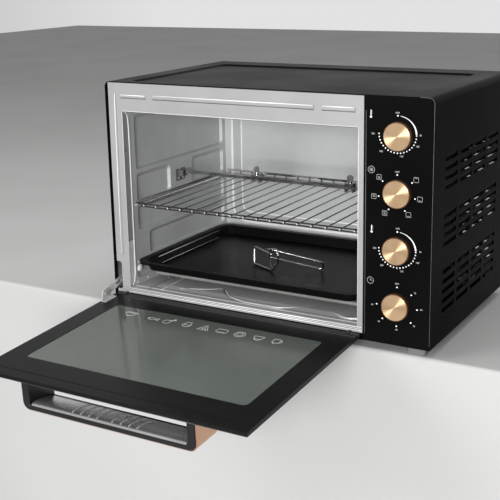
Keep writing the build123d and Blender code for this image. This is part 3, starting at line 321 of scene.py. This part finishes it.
NODE_MATS = {
    "casing_wrap": M_CASE, "back_cover": M_GALV, "base_pan": M_CASE, "feet": M_FOOT, "front_frame": M_FRAME,
    "control_panel": M_PANEL, "cavity_wall_left": M_CAVITY, "cavity_wall_right": M_CAVITY, "cavity_roof": M_CAVITY,
    "cavity_back": M_BACKWALL_LIT, "cavity_floor": M_FLOORPAN_LIT, "heat_shield": M_SHIELD_SHADE, "upper_heaters": M_HEATER, "lower_heaters": M_HEATER,
    "heater_insulators": M_CERAMIC, "heater_clips": M_STEEL, "rotisserie_motor": M_UNIT, "spit_socket": M_STEEL, "fan_motor": M_UNIT,
    "fan_rotor": M_ZINC, "thermostats": M_UNIT, "function_switch": M_IVORY, "timer_unit": M_UNIT, "control_screws": M_ZINC,
    "shaft_upper_heat": M_ZINC, "shaft_function": M_ZINC, "shaft_lower_heat": M_ZINC, "shaft_timer": M_ZINC,
    "sensor_bulbs": M_COPPER, "terminal_block": M_IVORY, "cord_gland": M_FOOT, "spit_support": M_SHADE_AND_LINE_GREY, "support_screws": M_ZINC,
    # the left thumbscrew takes the brighter tool chrome and the right one the darker wire chrome: painted light on one,
    # painted shade on the other
    "spit_rod": M_CHROME, "fork_left": M_CHROME, "fork_right": M_CHROME, "thumbscrew_left": M_TOOL, "thumbscrew_right": M_CHROME,
    "rack_frame": M_RAILS, "rack_wires": M_RACK, "baking_tray": M_ENAMEL, "tray_tool": M_TOOL, "door_surround": M_TRIM, "door_glass": M_GLASS,
    "door_trim": M_TRIM, "door_hinge_lugs": M_DARKSTEEL, "hinge_pins": M_DARKSTEEL, "door_arm_bracket": M_ARM, "hinge_arm": M_ARM,
    "door_spring": M_STEEL, "arm_guide": M_GALV, "handle_body": M_HANDLE, "handle_cover": M_COPPER, "handle_grip": M_GRIP,
    "handle_screws": M_ZINC, "casing_screws": M_ZINC,
}


def set_mat(obj, mat):
    if not obj.data.materials:
        obj.data.materials.append(mat)
    for i in range(len(obj.data.materials)):
        obj.data.materials[i] = mat


for node, mat in NODE_MATS.items():
    if node in NODES:
        set_mat(NODES[node], mat)
KNOBS = {"upper_heat": 312.6, "function": 234.1, "lower_heat": 154.2, "timer": 73.5}
KX = 490.5


# --------------------------------------------------------------- piece helpers
def mesh_obj(name, verts, faces, mat, body, smooth=False):
    me = bpy.data.meshes.new(name)
    me.from_pydata([tuple(v) for v in verts], [], faces)
    me.update()
    ob = bpy.data.objects.new(name, me)
    bpy.context.scene.collection.objects.link(ob)
    me.materials.append(mat)
    if smooth:
        for p in me.polygons:
            p.use_smooth = True
    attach(ob, body)
    return ob


class Flat:
    """Collects thin printed shapes that lie on a plane given by a mapping (u, v, h) -> point."""

    def __init__(self, to_world, thick=0.12):
        self.f, self.t, self.v, self.q = to_world, thick, [], []

    def prism(self, pts):
        n0 = len(self.v)
        n = len(pts)
        for h in (0.02, -self.t):
            for u, v in pts:
                self.v.append(self.f(u, v, h))
        self.q.append([n0 + n + i for i in range(n)])
        for i in range(n):
            j = (i + 1) % n
            self.q.append([n0 + i, n0 + j, n0 + n + j, n0 + n + i])

    def disc(self, u, v, r, n=20):
        self.prism([(u + r * math.cos(2 * math.pi * i / n), v + r * math.sin(2 * math.pi * i / n)) for i in range(n)])

    def line(self, a, b, w):
        (x0, y0), (x1, y1) = a, b
        L = math.hypot(x1 - x0, y1 - y0) or 1e-6
        nx, ny = -(y1 - y0) / L * w / 2, (x1 - x0) / L * w / 2
        self.prism([(x0 + nx, y0 + ny), (x0 - nx, y0 - ny), (x1 - nx, y1 - ny), (x1 + nx, y1 + ny)])

    def path(self, pts, w, closed=False):
        """Ribbon with mitred joints."""
        n = len(pts)
        left, rightp = [], []
        for i in range(n):
            if closed:
                a, b, c = pts[(i - 1) % n], pts[i], pts[(i + 1) % n]
            else:
                a, b, c = pts[max(i - 1, 0)], pts[i], pts[min(i + 1, n - 1)]
            d1 = Vector((b[0] - a[0], b[1] - a[1]))
            d2 = Vector((c[0] - b[0], c[1] - b[1]))
            if d1.length < 1e-9:
                d1 = d2
            if d2.length < 1e-9:
                d2 = d1
            d1.normalize()
            d2.normalize()
            t = (d1 + d2)
            t = t.normalized() if t.length > 1e-6 else d1
            nrm = Vector((-t.y, t.x))
            k = max(0.4, nrm.dot(Vector((-d1.y, d1.x))))
            nrm = nrm * (w / 2 / k)
            left.append((b[0] + nrm.x, b[1] + nrm.y))
            rightp.append((b[0] - nrm.x, b[1] - nrm.y))
        m = n if closed else n - 1
        for i in range(m):
            j = (i + 1) % n
            self.prism([left[i], rightp[i], rightp[j], left[j]])

    def arc(self, u, v, r, a0, a1, w, n=32):
        pts = [(u + r * math.cos(math.radians(a0 + (a1 - a0) * i / n)), v + r * math.sin(math.radians(a0 + (a1 - a0) * i / n))) for i in range(n + 1)]
        full = abs(abs(a1 - a0) - 360) < 1e-6
        self.path(pts[:-1] if full else pts, w, full)

    def taper_arc(self, u, v, a, b, t0, t1, w0, w1, n=36):
        """Arc of an ellipse whose width grows from w0 to w1."""
        for i in range(n):
            q = []
            for k, side in ((i, 1), (i, -1), (i + 1, -1), (i + 1, 1)):
                t = math.radians(t0 + (t1 - t0) * k / n)
                w = (w0 + (w1 - w0) * k / n) * side / 2
                q.append((u + (a + w) * math.cos(t), v + (b + w) * math.sin(t)))
            self.prism(q)

    def rect(self, u0, u1, v0, v1, r, w):
        pts = []
        for cu, cv, a in ((u1 - r, v1 - r, 0), (u0 + r, v1 - r, 90), (u0 + r, v0 + r, 180), (u1 - r, v0 + r, 270)):
            for i in range(5):
                t = math.radians(a + 22.5 * i)
                pts.append((cu + r * math.cos(t), cv + r * math.sin(t)))
        self.path(pts, w, True)

    def make(self, name, mat, body):
        return mesh_obj(name, self.v, self.q, mat, body)


def text_obj(name, body_txt, size, place, mat, body, slot, align="CENTER"):
    """Raised printed figures; place maps (u, v, h) in mm to a point."""
    cu = bpy.data.curves.new(name, "FONT")
    cu.body = body_txt
    cu.size = size
    cu.align_x = align
    cu.align_y = "CENTER"
    cu.resolution_u = 4
    tmp = bpy.data.objects.new(name + "_t", cu)
    bpy.context.scene.collection.objects.link(tmp)
    dg = bpy.context.evaluated_depsgraph_get()
    dg.update()
    me = bpy.data.meshes.new_from_object(tmp.evaluated_get(dg))
    bpy.data.objects.remove(tmp)
    bpy.data.curves.remove(cu)
    verts = [place(v.co.x, v.co.y, -0.1) for v in me.vertices]
    faces = [list(p.vertices) for p in me.polygons]
    bpy.data.meshes.remove(me)
    return verts, faces


# --------------------------------------------------------------- dial print on the panel
def on_panel(u, v, h):
    return M(u, h, v)


def dial_print(name, z, build):
    fl = Flat(on_panel)
    build(fl, z)
    fl.make("print_" + name, M_PRINT, "oven_body")


TEXTS = []


def heat_dial(cu, cz, a, b, off, labels, sign):
    def build(fl, z):
        fl.disc(cu, cz + b, 1.15)
        fl.taper_arc(cu, cz, a, b, 82, 4, 0.45, 2.3)
        for i in range(19):
            t = math.radians(-10.0 * i)
            fl.disc(cu + a * math.cos(t), cz + b * math.sin(t), 0.98)
        TEXTS.append(("OFF", off[0], off[1], 3.5))
        for lab, u, v in labels:
            TEXTS.append((lab, u, v, 3.4))
        tx, tz = sign
        fl.disc(tx, tz - 4.0, 1.65)
        fl.line((tx, tz - 4.0), (tx, tz + 5.0), 1.25)
        fl.disc(tx, tz + 5.0, 0.62)
        for k in range(3):
            fl.line((tx + 1.1, tz + 0.6 + 1.7 * k), (tx + 2.1, tz + 0.6 + 1.7 * k), 0.3)
    return build


def oven_sign(fl, u, v, kind):
    s = 3.4
    fl.rect(u - s, u + s, v - s, v + s, 0.7, 0.36)
    if kind in (0, 3, 4):
        fl.line((u - 2.0, v + 1.9), (u + 2.0, v + 1.9), 0.34)
    if kind in (1, 2, 3, 5):
        fl.line((u - 2.0, v - 1.9), (u + 2.0, v - 1.9), 0.34)
    if kind in (3, 4, 5):
        fl.arc(u, v, 0.9, 0, 360, 0.34, 16)
        fl.line((u - 1.9, v), (u - 1.0, v), 0.32)
        fl.line((u + 1.0, v), (u + 1.9, v), 0.32)


SIGNS = Flat(on_panel)


def function_dial(fl, z):
    for u, v in ((488.7, 259.6), (510.0, 250.5), (514.7, 229.0), (500.5, 210.9), (476.9, 210.7), (462.0, 227.9), (467.6, 249.4)):
        fl.disc(u, v, 1.05)
    TEXTS.append(("OFF", 488.9, 263.6, 3.5))
    for i, (u, v) in enumerate(((515.9, 255.1), (521.8, 228.9), (505.7, 205.9), (471.1, 205.0), (454.9, 227.2), (462.3, 254.5))):
        oven_sign(SIGNS, u, v, i)
    u, v = 450.9, 264.1
    SIGNS.arc(u, v, 4.8, 0, 360, 0.42, 36)
    SIGNS.arc(u - 1.1, v + 0.9, 1.2, 0, 360, 0.45, 14)
    SIGNS.arc(u + 1.3, v - 1.1, 1.2, 0, 360, 0.45, 14)
    SIGNS.line((u - 2.2, v - 2.2), (u + 2.2, v + 2.2), 0.4)


def timer_dial(fl, z):
    for i in range(7):
        t = math.radians(90 - 45.0 * i)
        fl.disc(490.9 + 30.0 * math.cos(t), 72.6 + 28.5 * math.sin(t), 1.1)
    TEXTS.append(("OFF", 490.9, 106.0, 3.5))
    for lab, u, v in (("10", 517.2, 96.4), ("20", 526.9, 73.7), ("30", 517.1, 48.3), ("40", 491.1, 39.0), ("50", 464.6, 47.2), ("60", 454.2, 70.7)):
        TEXTS.append((lab, u, v, 3.4))
    u, v = 451.0, 106.1
    SIGNS.arc(u, v, 4.8, 0, 360, 0.42, 36)
    SIGNS.path([(u, v + 3.0), (u, v), (u + 2.6, v)], 0.55)


dial_print("upper_heat", 314.5, heat_dial(488.4, 314.5, 26.8, 25.3, (487.9, 343.4),
           (("70", 520.6, 315.2), ("100", 516.8, 300.1), ("150", 494.2, 285.3), ("200", 464.9, 290.2), ("250", 452.9, 313.8)), (449.6, 340.5)))
dial_print("function", 234.0, function_dial)
dial_print("lower_heat", 153.5, heat_dial(490.2, 154.7, 27.1, 25.6, (490.8, 184.8),
           (("70", 523.8, 155.7), ("100", 520.2, 140.1), ("150", 497.4, 125.0), ("200", 467.9, 130.0), ("250", 456.8, 153.5)), (452.1, 180.7)))
dial_print("timer", 73.0, timer_dial)
SIGNS.make("print_signs", M_PRINT_DIM, "oven_body")
allv, allf = [], []
for txt, u, v, size in TEXTS:
    vv, ff = text_obj("t", txt, size, lambda a, b, h, u=u, v=v: on_panel(u + a, v + b, h), M_PRINT, "oven_body", "panel_black")
    n0 = len(allv)
    allv += vv
    allf += [[n0 + i for i in f] for f in ff]
mesh_obj("print_figures", allv, allf, M_PRINT_DIM, "oven_body")


# --------------------------------------------------------------- knob faces and sides
def lathe(profile, centre, n=96, cap_start=True):
    """Turned shape about an axis along -Y through centre; profile is a list of (radius, y) in mm."""
    verts, faces = [], []
    for r, y in profile:
        for i in range(n):
            a = 2 * math.pi * i / n
            verts.append(M(centre[0] + r * math.cos(a), y, centre[1] + r * math.sin(a)))
    for k in range(len(profile) - 1):
        for i in range(n):
            j = (i + 1) % n
            faces.append([k * n + i, k * n + j, (k + 1) * n + j, (k + 1) * n + i])
    if cap_start:
        faces.append([i for i in range(n)])
    return verts, faces


for kn, z in KNOBS.items():
    node = NODES["knob_" + kn]
    set_mat(node, M_COPPER_SIDE_SHADE)
    body = kn + "_knob"
    spun = spun_copper("spun_" + kn, KX, z)
    # thin turned face plate with a fine bright rim
    prof = [(0.35, -9.12), (6.0, -9.11), (12.0, -9.10), (18.0, -9.08), (18.5, -9.02)]
    v, f = lathe(prof, (KX, z), 96, True)
    mesh_obj("face_" + kn, v, f, spun, body, True)


# --------------------------------------------------------------- symbols on the door glass
HY, HZ, OPEN = -4.42, 22.55, math.radians(93.0)


def on_glass(u, v, h):
    """u along x, v height on the closed door, h above the glass towards the inside; returned in the open pose."""
    y, z = -2.8 - 0.0 + (-h), v
    dy, dz = y - HY, z - HZ
    return M(u, HY + dy * math.cos(OPEN) - dz * math.sin(OPEN), HZ + dy * math.sin(OPEN) + dz * math.cos(OPEN))


def door_signs():
    fl = Flat(on_glass, 0.12)
    w = 0.75
    z0 = 93.0
    # plate of food, fish, drumstick, cup cake, pizza slice, loaf, tart, vegetables, cup
    u = 85.0
    fl.arc(u, z0 - 4, 9, 0, 180, w, 20)
    fl.line((u - 13, z0 - 5), (u + 13, z0 - 5), w)
    fl.line((u - 9, z0 - 8), (u + 9, z0 - 8), w)
    fl.disc(u, z0 + 6.5, 1.3)
    u = 126.0
    fl.arc(u, z0 - 5, 9.5, 40, 140, w, 16)
    fl.arc(u, z0 + 7, 9.5, 220, 320, w, 16)
    fl.path([(u + 7, z0 + 1), (u + 12, z0 + 5), (u + 12, z0 - 3), (u + 7, z0 + 1)], w)
    fl.disc(u - 4, z0 + 1.8, 0.9)
    u = 156.0
    fl.arc(u - 2, z0 + 2, 6, 0, 360, w, 24)
    fl.line((u + 2.5, z0 - 2.5), (u + 8, z0 - 8), 2.0)
    fl.disc(u + 8.5, z0 - 7, 1.4)
    fl.disc(u + 7, z0 - 9, 1.4)
    u = 189.0
    fl.path([(u - 6, z0), (u - 4, z0 - 9), (u + 4, z0 - 9), (u + 6, z0)], w)
    fl.arc(u, z0, 7, 0, 180, w, 20)
    fl.line((u - 7.5, z0), (u + 7.5, z0), w)
    u = 220.0
    fl.path([(u, z0 - 10), (u - 9, z0 + 6), (u + 9, z0 + 6)], w, True)
    fl.disc(u - 2, z0 + 2, 1.3)
    fl.disc(u + 3, z0 + 2.5, 1.3)
    fl.disc(u, z0 - 3.5, 1.2)
    u = 250.0
    fl.rect(u - 9, u + 9, z0 - 7, z0 + 5, 4.0, w)
    for k in (-4, 0, 4):
        fl.line((u + k, z0 + 1), (u + k + 2, z0 + 5), w)
    u = 280.0
    fl.arc(u, z0 - 1, 8.5, 0, 360, w, 30)
    fl.arc(u, z0 - 1, 5.0, 0, 360, w, 24)
    u = 311.0
    fl.path([(u - 8, z0 - 6), (u + 8, z0 - 6), (u + 6, z0 + 3), (u - 6, z0 + 3)], w, True)
    fl.arc(u, z0 + 3, 4.5, 0, 180, w, 14)
    u = 341.0
    fl.rect(u - 6, u + 5, z0 - 7, z0 + 5, 1.5, w)
    fl.arc(u + 5, z0 - 1, 3.4, -90, 90, w, 12)
    fl.path([(u - 2, z0 + 7), (u - 1, z0 + 8.5), (u - 2, z0 + 10)], w)
    fl.make("print_door_signs", M_PRINT_GLASS, "door")
    # painted highlight: a light grey line across the door's black border
    edge = Flat(lambda u, v, h: on_glass(u, v, h - 0.8), 0.12)
    edge.line((38.0, 36.0), (436.4, 36.0), 0.6)
    edge.make("door_crease_highlight", M_SHADE_AND_LINE_GREY, "door")


door_signs()


# --------------------------------------------------------------- pressed lines, beads and small parts
def smooth_path(pts, times=2):
    """Cuts the corners of a polyline, keeping its ends."""
    for _ in range(times):
        out = [pts[0]]
        for a, b in zip(pts[:-1], pts[1:]):
            a, b = Vector(a), Vector(b)
            out.append(a * 0.75 + b * 0.25)
            out.append(a * 0.25 + b * 0.75)
        out.append(pts[-1])
        pts = [tuple(q) for q in out]
    return pts


def bar_mesh(paths, rad, n=8):
    """Round bars along polylines given in mm; rad is one radius or a pair of radii (along the two cross directions)."""
    ra, rb = rad if isinstance(rad, tuple) else (rad, rad)
    verts, faces = [], []
    for path in paths:
        pts = [Vector(q) for q in path]
        n0 = len(verts)
        m = len(pts)
        ref = None
        for i, c in enumerate(pts):
            t = (pts[min(i + 1, m - 1)] - pts[max(i - 1, 0)]).normalized()
            if ref is None:
                ref = Vector((0, 1, 0)) if abs(t.y) < 0.9 else Vector((1, 0, 0))
            u = t.cross(ref).normalized()
            w = t.cross(u).normalized()
            for k in range(n):
                g = 2 * math.pi * k / n
                q = c + u * (ra * math.cos(g)) + w * (rb * math.sin(g))
                verts.append(M(q.x, q.y, q.z))
        for i in range(m - 1):
            for k in range(n):
                j = (k + 1) % n
                faces.append([n0 + i * n + k, n0 + i * n + j, n0 + (i + 1) * n + j, n0 + (i + 1) * n + k])
        faces.append([n0 + k for k in range(n)][::-1])
        faces.append([n0 + (m - 1) * n + k for k in range(n)])
    return verts, faces


def bars(name, paths, rad, mat, body, n=8):
    v, f = bar_mesh(paths, rad, n)
    return mesh_obj(name, v, f, mat, body, True)


def dome_mesh(centre, radii, n=20, rings=7):
    """Ellipsoid around centre, in mm."""
    verts, faces = [M(centre[0], centre[1], centre[2] + radii[2])], []
    for i in range(1, rings):
        a = math.pi * i / rings
        for k in range(n):
            g = 2 * math.pi * k / n
            verts.append(M(centre[0] + radii[0] * math.sin(a) * math.cos(g), centre[1] + radii[1] * math.sin(a) * math.sin(g), centre[2] + radii[2] * math.cos(a)))
    verts.append(M(centre[0], centre[1], centre[2] - radii[2]))
    for k in range(n):
        j = (k + 1) % n
        faces.append([0, 1 + k, 1 + j])
        for i in range(rings - 2):
            faces.append([1 + i * n + k, 1 + (i + 1) * n + k, 1 + (i + 1) * n + j, 1 + i * n + j])
        faces.append([1 + (rings - 2) * n + k, len(verts) - 1, 1 + (rings - 2) * n + j])
    return verts, faces


def domes(name, items, mat, body):
    verts, faces = [], []
    for c, r in items:
        v, f = dome_mesh(c, r)
        n0 = len(verts)
        verts += v
        faces += [[n0 + i for i in q] for q in f]
    return mesh_obj(name, verts, faces, mat, body, True)


# front frame: painted highlights on the crests of its pressed beads, painted shade in the creases under them and beside
# the panel, and a painted highlight on the turned edge round the mouth
bars("frame_crest_highlights", [
    [(19.2, -1.36, 347.6), (18.3, -1.4, 300.0), (17.6, -1.4, 200.0), (17.6, -1.4, 90.0)],
    [(30.6, -1.4, 345.9), (76.5, -1.4, 345.9)],
    [(90.5, -1.38, 347.0), (362.5, -1.38, 347.0)],
    [(376.5, -1.38, 347.0), (425.5, -1.38, 347.0)],
], (0.75, 0.22), M_PAINTED_HIGHLIGHT, "oven_body")
bars("frame_crease_shade", [
    [(29.5, 0.05, 341.0), (77.5, 0.05, 341.0)],
    [(89.5, 0.05, 341.0), (363.5, 0.05, 341.0)],
    [(375.5, 0.05, 341.0), (426.5, 0.05, 341.0)],
    [(442.6, 0.05, 345.0), (442.6, 0.05, 26.0)],
], (0.48, 0.10), M_SHADE_AND_LINE_GREY, "oven_body")
bars("mouth_edge_highlight", [
    [(31.0, 0.15, 33.6), (30.9, 0.15, 319.6), (32.4, 0.15, 320.9), (431.2, 0.15, 320.9)],
    [(431.3, 0.1, 33.6), (431.3, 0.1, 320.6)],
], 0.42, M_PAINTED_HIGHLIGHT, "oven_body")
# sill: painted highlights on its pressed steps and painted shade in the grooves between them
bars("sill_highlights", [
    [(31.0, -0.88, 33.4), (438.6, -0.88, 33.4)],
    [(31.0, 0.0, 30.8), (438.6, 0.0, 30.8)],
    [(31.0, -0.88, 28.6), (438.6, -0.88, 28.6)],
], (0.75, 0.2), M_PAINTED_HIGHLIGHT, "oven_body")
bars("sill_crease_shade", [
    [(31.0, -0.9, 32.2), (438.6, -0.9, 32.2)],
    [(31.0, -0.05, 29.8), (438.6, -0.05, 29.8)],
], (0.42, 0.14), M_SHADE_AND_LINE_GREY, "oven_body")

# painted shade just inside the top edge of the mouth
bars("mouth_crease_shade", [[(33.0, 0.35, 319.9), (430.6, 0.35, 319.9)]], 0.3, M_SHADE_AND_LINE_GREY, "oven_body")

# mouth: painted shade on the upper part of the turned-in flange and painted light below its lower notch, with a painted
# highlight on the rolled edge of the cavity behind it
def return_strip(name, z0, z1, mat):
    v = [M(x, y, z) for z in (z0, z1) for x, y in ((31.0, 1.2), (32.6, 11.6))] + [M(x, y, z) for z in (z0, z1) for x, y in ((30.6, 1.2), (32.2, 11.6))]
    f = [[0, 1, 3, 2], [4, 6, 7, 5], [0, 4, 5, 1], [2, 3, 7, 6], [0, 2, 6, 4], [1, 5, 7, 3]]
    mesh_obj(name, v, f, mat, "oven_body")


return_strip("mouth_return_painted_shade", 112.0, 316.0, M_RETURN_SHADE)
return_strip("mouth_return_painted_light", 40.0, 111.0, M_PAINTED_LIGHT_GREY)
bars("rolled_edge_highlight", [smooth_path([(31.0, 8.0, 318.6), (32.2, 10.0, 314.0), (33.3, 11.6, 304.0), (33.4, 11.8, 228.0), (33.4, 11.8, 92.0), (33.4, 11.8, 52.0), (31.2, 8.0, 36.0)])],
     0.75, M_PAINTED_HIGHLIGHT, "oven_body", 10)
# painted shade in the two notches of the turned-in flange
nv, nf = [], []
for z, y in ((257.5, 4.4), (111.5, 3.0)):
    vv, ff = bar_mesh([[(31.2, y, z - 1.3), (31.2, y, z + 1.3)]], (0.5, 1.3), 6)
    n0 = len(nv)
    nv += vv
    nf += [[n0 + i for i in q] for q in ff]
mesh_obj("mouth_notch_shade", nv, nf, M_NOTCH_SHADE_FOLD_HIGHLIGHT, "oven_body")
# screw heads low on the left wall and a boss by the tray's front corner, drawn in the painted-highlight white; the boss
# is a painted highlight
domes("wall_screws", [((33.1, 18.5, 38.8), (1.3, 1.9, 1.9)), ((33.1, 46.0, 39.4), (1.3, 1.9, 1.9))], M_PAINTED_HIGHLIGHT, "oven_body")
domes("boss_highlight", [((33.2, 25.0, 61.0), (2.6, 6.5, 6.0))], M_PAINTED_HIGHLIGHT, "oven_body")

# cavity floor: painted shade in its pressed grooves and painted highlights on its pressed crests
wave = [(174.5, 54.3, 37.08), (181.2, 44.0, 37.08), (191.0, 32.1, 37.08), (203.6, 23.0, 35.61), (221.9, 15.7, 35.08), (245.7, 11.8, 35.08),
        (291.8, 14.4, 35.08), (323.3, 25.6, 36.07), (349.4, 53.1, 37.08)]
bars("floor_crease_shade", [
    [(62.9, 8.5, 35.08), (61.9, 72.2, 35.08), (62.0, 280.2, 35.08)],
    smooth_path(wave, 1),
], (0.16, 0.9), M_SHADE_AND_LINE_GREY, "oven_body")
bars("floor_crest_highlights", [
    [(85.2, 8.8, 35.12), (84.8, 20.1, 35.14), (87.5, 35.1, 37.1), (86.5, 73.1, 37.1), (86.6, 274.0, 37.1)],
    [(109.5, 26.4, 36.24), (122.6, 29.4, 36.78), (133.1, 32.3, 37.12), (147.2, 37.7, 37.12), (161.1, 44.1, 37.12), (174.2, 54.7, 37.12)],
    [(176.9, 56.3, 37.12), (183.7, 46.8, 37.12), (193.8, 35.1, 37.12), (206.6, 25.4, 35.92), (222.9, 19.2, 35.14), (245.7, 15.2, 35.14)],
], (0.26, 0.75), M_PAINTED_HIGHLIGHT, "oven_body")

# back wall: painted highlights on the crests where its raised field rises
bars("back_crest_highlights", [
    smooth_path([(47.5, 299.8, 318.0), (47.0, 299.8, 200.0), (47.0, 299.8, 112.0), (49.0, 299.8, 98.0), (56.0, 299.8, 88.0), (68.0, 299.8, 81.0), (86.0, 299.8, 80.0), (398.0, 299.8, 80.0)], 3),
], (2.6, 0.5), M_PAINTED_HIGHLIGHT, "oven_body")
bars("back_crest_highlights_inner", [
    smooth_path([(70.5, 294.0, 285.0), (70.0, 294.0, 200.0), (70.0, 294.0, 122.0), (72.0, 294.0, 108.0), (80.0, 294.0, 101.0), (96.0, 294.0, 100.0), (384.0, 294.0, 100.0)], 3),
], (1.5, 0.45), M_PAINTED_HIGHLIGHT, "oven_body")

# painted shade: dark lines along the top of the ledge that carries the rack and on the wall just above it
bars("ledge_seam_shade", [[(34.9, 20.0, 168.8), (34.9, 288.0, 168.8)]], (0.12, 1.7), M_SHADE_AND_LINE_GREY, "oven_body")
bars("ledge_shade", [[(33.0, 24.0, 171.6), (33.0, 252.0, 171.0)]], (1.5, 0.25), M_SHADE_AND_LINE_GREY, "oven_body")

# rack: painted glints on the ends of its cross wires
domes("wire_tip_glints", [((51.0 + 22.9 * i, 18.9, 168.0), (1.15, 0.9, 1.15)) for i in range(17)], M_PAINTED_HIGHLIGHT, "rack")

# tray: painted highlights along its pressed left side
bars("tray_crest_highlights", [
    [(46.6, 60.0, 72.1), (46.6, 250.0, 72.1)],
    [(52.4, 60.0, 62.7), (52.4, 236.0, 62.7)],
], (0.35, 0.2), M_PAINTED_HIGHLIGHT, "tray")

# door: painted highlight along its far lower edge; grip: painted highlights on the crests of its eight ribs
bars("door_rim_highlight", [[(9.8, -322.2, 2.45), (436.2, -322.2, 2.45)]], (0.5, 0.2), M_DOOR_RIM_HIGHLIGHT, "door")


def opened(y, z):
    dy, dz = y - HY, z - HZ
    return HY + dy * math.cos(OPEN) - dz * math.sin(OPEN), HZ + dy * math.sin(OPEN) + dz * math.cos(OPEN)


rib_profile = [(-40.5 + dy + 0.72, z) for dy, z in ((3.2, 336.6), (3.6, 335.2), (3.9, 330.5), (3.3, 324.0), (1.6, 315.0), (-0.7, 306.0), (-2.5, 300.0))]
bars("grip_rib_highlights", [[(x, *opened(y, z)) for y, z in rib_profile] for x in (167.0, 180.5, 194.0, 207.0, 231.5, 245.0, 258.5, 271.5)],
     (0.22, 0.8), M_PAINTED_LIGHT_GREY, "door")

# control panel: painted highlight along its right edge and upper corner
rim_pts = [(539.45, 0.28, 22.5), (539.45, 0.28, 357.0)]
for i in range(1, 9):
    a = math.radians(90.0 * i / 8)
    rim_pts.append((531.0 + 8.45 * math.cos(a), 0.28, 357.0 + 8.45 * math.sin(a)))
rim_pts.append((519.0, 0.28, 365.45))
bars("panel_rim_highlight", [rim_pts], 0.24, M_PANEL_RIM_HIGHLIGHT, "oven_body")
# painted highlight on the fold near the back of the casing's right side
bars("side_fold_highlight", [[(539.72, 291.0, 46.0), (539.72, 291.0, 234.0)]], (0.2, 0.6), M_NOTCH_SHADE_FOLD_HIGHLIGHT, "oven_body")


# --------------------------------------------------------------- stage and light
def stage_mat():
    m, nt, b = new_mat("stage_pale", (0.52, 0.52, 0.515), 0.85, 0.0, 0.15)
    n = noise(nt, coords(nt, (1, 1, 1)), 2.0, 2.0)
    nt.links.new(ramp(nt, n, (0.50, 0.50, 0.495), (0.54, 0.54, 0.535)), b.inputs["Base Color"])
    return m


M_STAGE = stage_mat()


def stage_piece(name, profile, x0, x1):
    """Extrudes a (y, z) profile along X."""
    verts, faces = [], []
    for x in (x0, x1):
        for y, z in profile:
            verts.append(M(x, y, z))
    n = len(profile)
    for i in range(n - 1):
        faces.append([i, i + 1, n + i + 1, n + i])
    me = bpy.data.meshes.new(name)
    me.from_pydata([tuple(v) for v in verts], [], faces)
    me.update()
    for p in me.polygons:
        p.use_smooth = True
    ob = bpy.data.objects.new(name, me)
    bpy.context.scene.collection.objects.link(ob)
    me.materials.append(M_STAGE)
    return ob


edge_y = 9.0
prof = [(6000.0, 0.0), (edge_y + 6, 0.0)]
for i in range(1, 9):
    a = math.radians(90 * i / 8)
    prof.append((edge_y + 6 - 6 * math.sin(a), -6 + 6 * math.cos(a)))
prof += [(edge_y, -900.0), (edge_y - 60, -930.0), (-6000.0, -930.0)]
stage_piece("worktop", prof, -5000.0, 5500.0)

world = bpy.data.worlds.new("world")
bpy.context.scene.world = world
world.use_nodes = True
bg = world.node_tree.nodes["Background"]
bg.inputs["Color"].default_value = (1.0, 1.0, 1.0, 1)
wn = world.node_tree
tcw = wn.nodes.new("ShaderNodeTexCoord")
sepw = wn.nodes.new("ShaderNodeSeparateXYZ")
wn.links.new(tcw.outputs["Generated"], sepw.inputs["Vector"])
# bright band low behind the object, which the top of the casing mirrors
band = wn.nodes.new("ShaderNodeMath")
band.operation = "MULTIPLY"
wn.links.new(remap(wn, sepw.outputs["Y"], 0.0, 0.34, 0.60, 0.82), band.inputs[0])
wn.links.new(remap(wn, sepw.outputs["Z"], 1.0, 0.0, 0.36, 0.62), band.inputs[1])
total = wn.nodes.new("ShaderNodeMath")
total.operation = "ADD"
wn.links.new(remap(wn, sepw.outputs["X"], 0.42, 0.10, 0.1, 0.75), total.inputs[0])
wn.links.new(band.outputs[0], total.inputs[1])
wn.links.new(total.outputs[0], bg.inputs["Strength"])


def area(name, loc, target, size, energy, color=(1, 1, 1)):
    ld = bpy.data.lights.new(name, "AREA")
    ld.shape = "RECTANGLE"
    ld.size, ld.size_y = size
    ld.energy = energy
    ld.color = color
    ob = bpy.data.objects.new(name, ld)
    bpy.context.scene.collection.objects.link(ob)
    ob.location = loc
    dv = (Vector(target) - Vector(loc)).normalized()
    ob.rotation_euler = dv.to_track_quat("-Z", "Y").to_euler()
    return ob


area("front", (0.75, -2.3, 0.58), (-0.05, 0.1, 0.2), (1.0, 0.7), 60.0)
left_light = area("left_front", (-1.6, -2.2, 1.5), (0.1, 0.0, 0.2), (1.2, 1.4), 30.0)
left_light.visible_glossy = False
area("top", (0.0, 0.2, 2.2), (0.0, 0.1, 0.3), (1.6, 1.0), 14.0)

bpy.context.scene.view_settings.view_transform = "Standard"
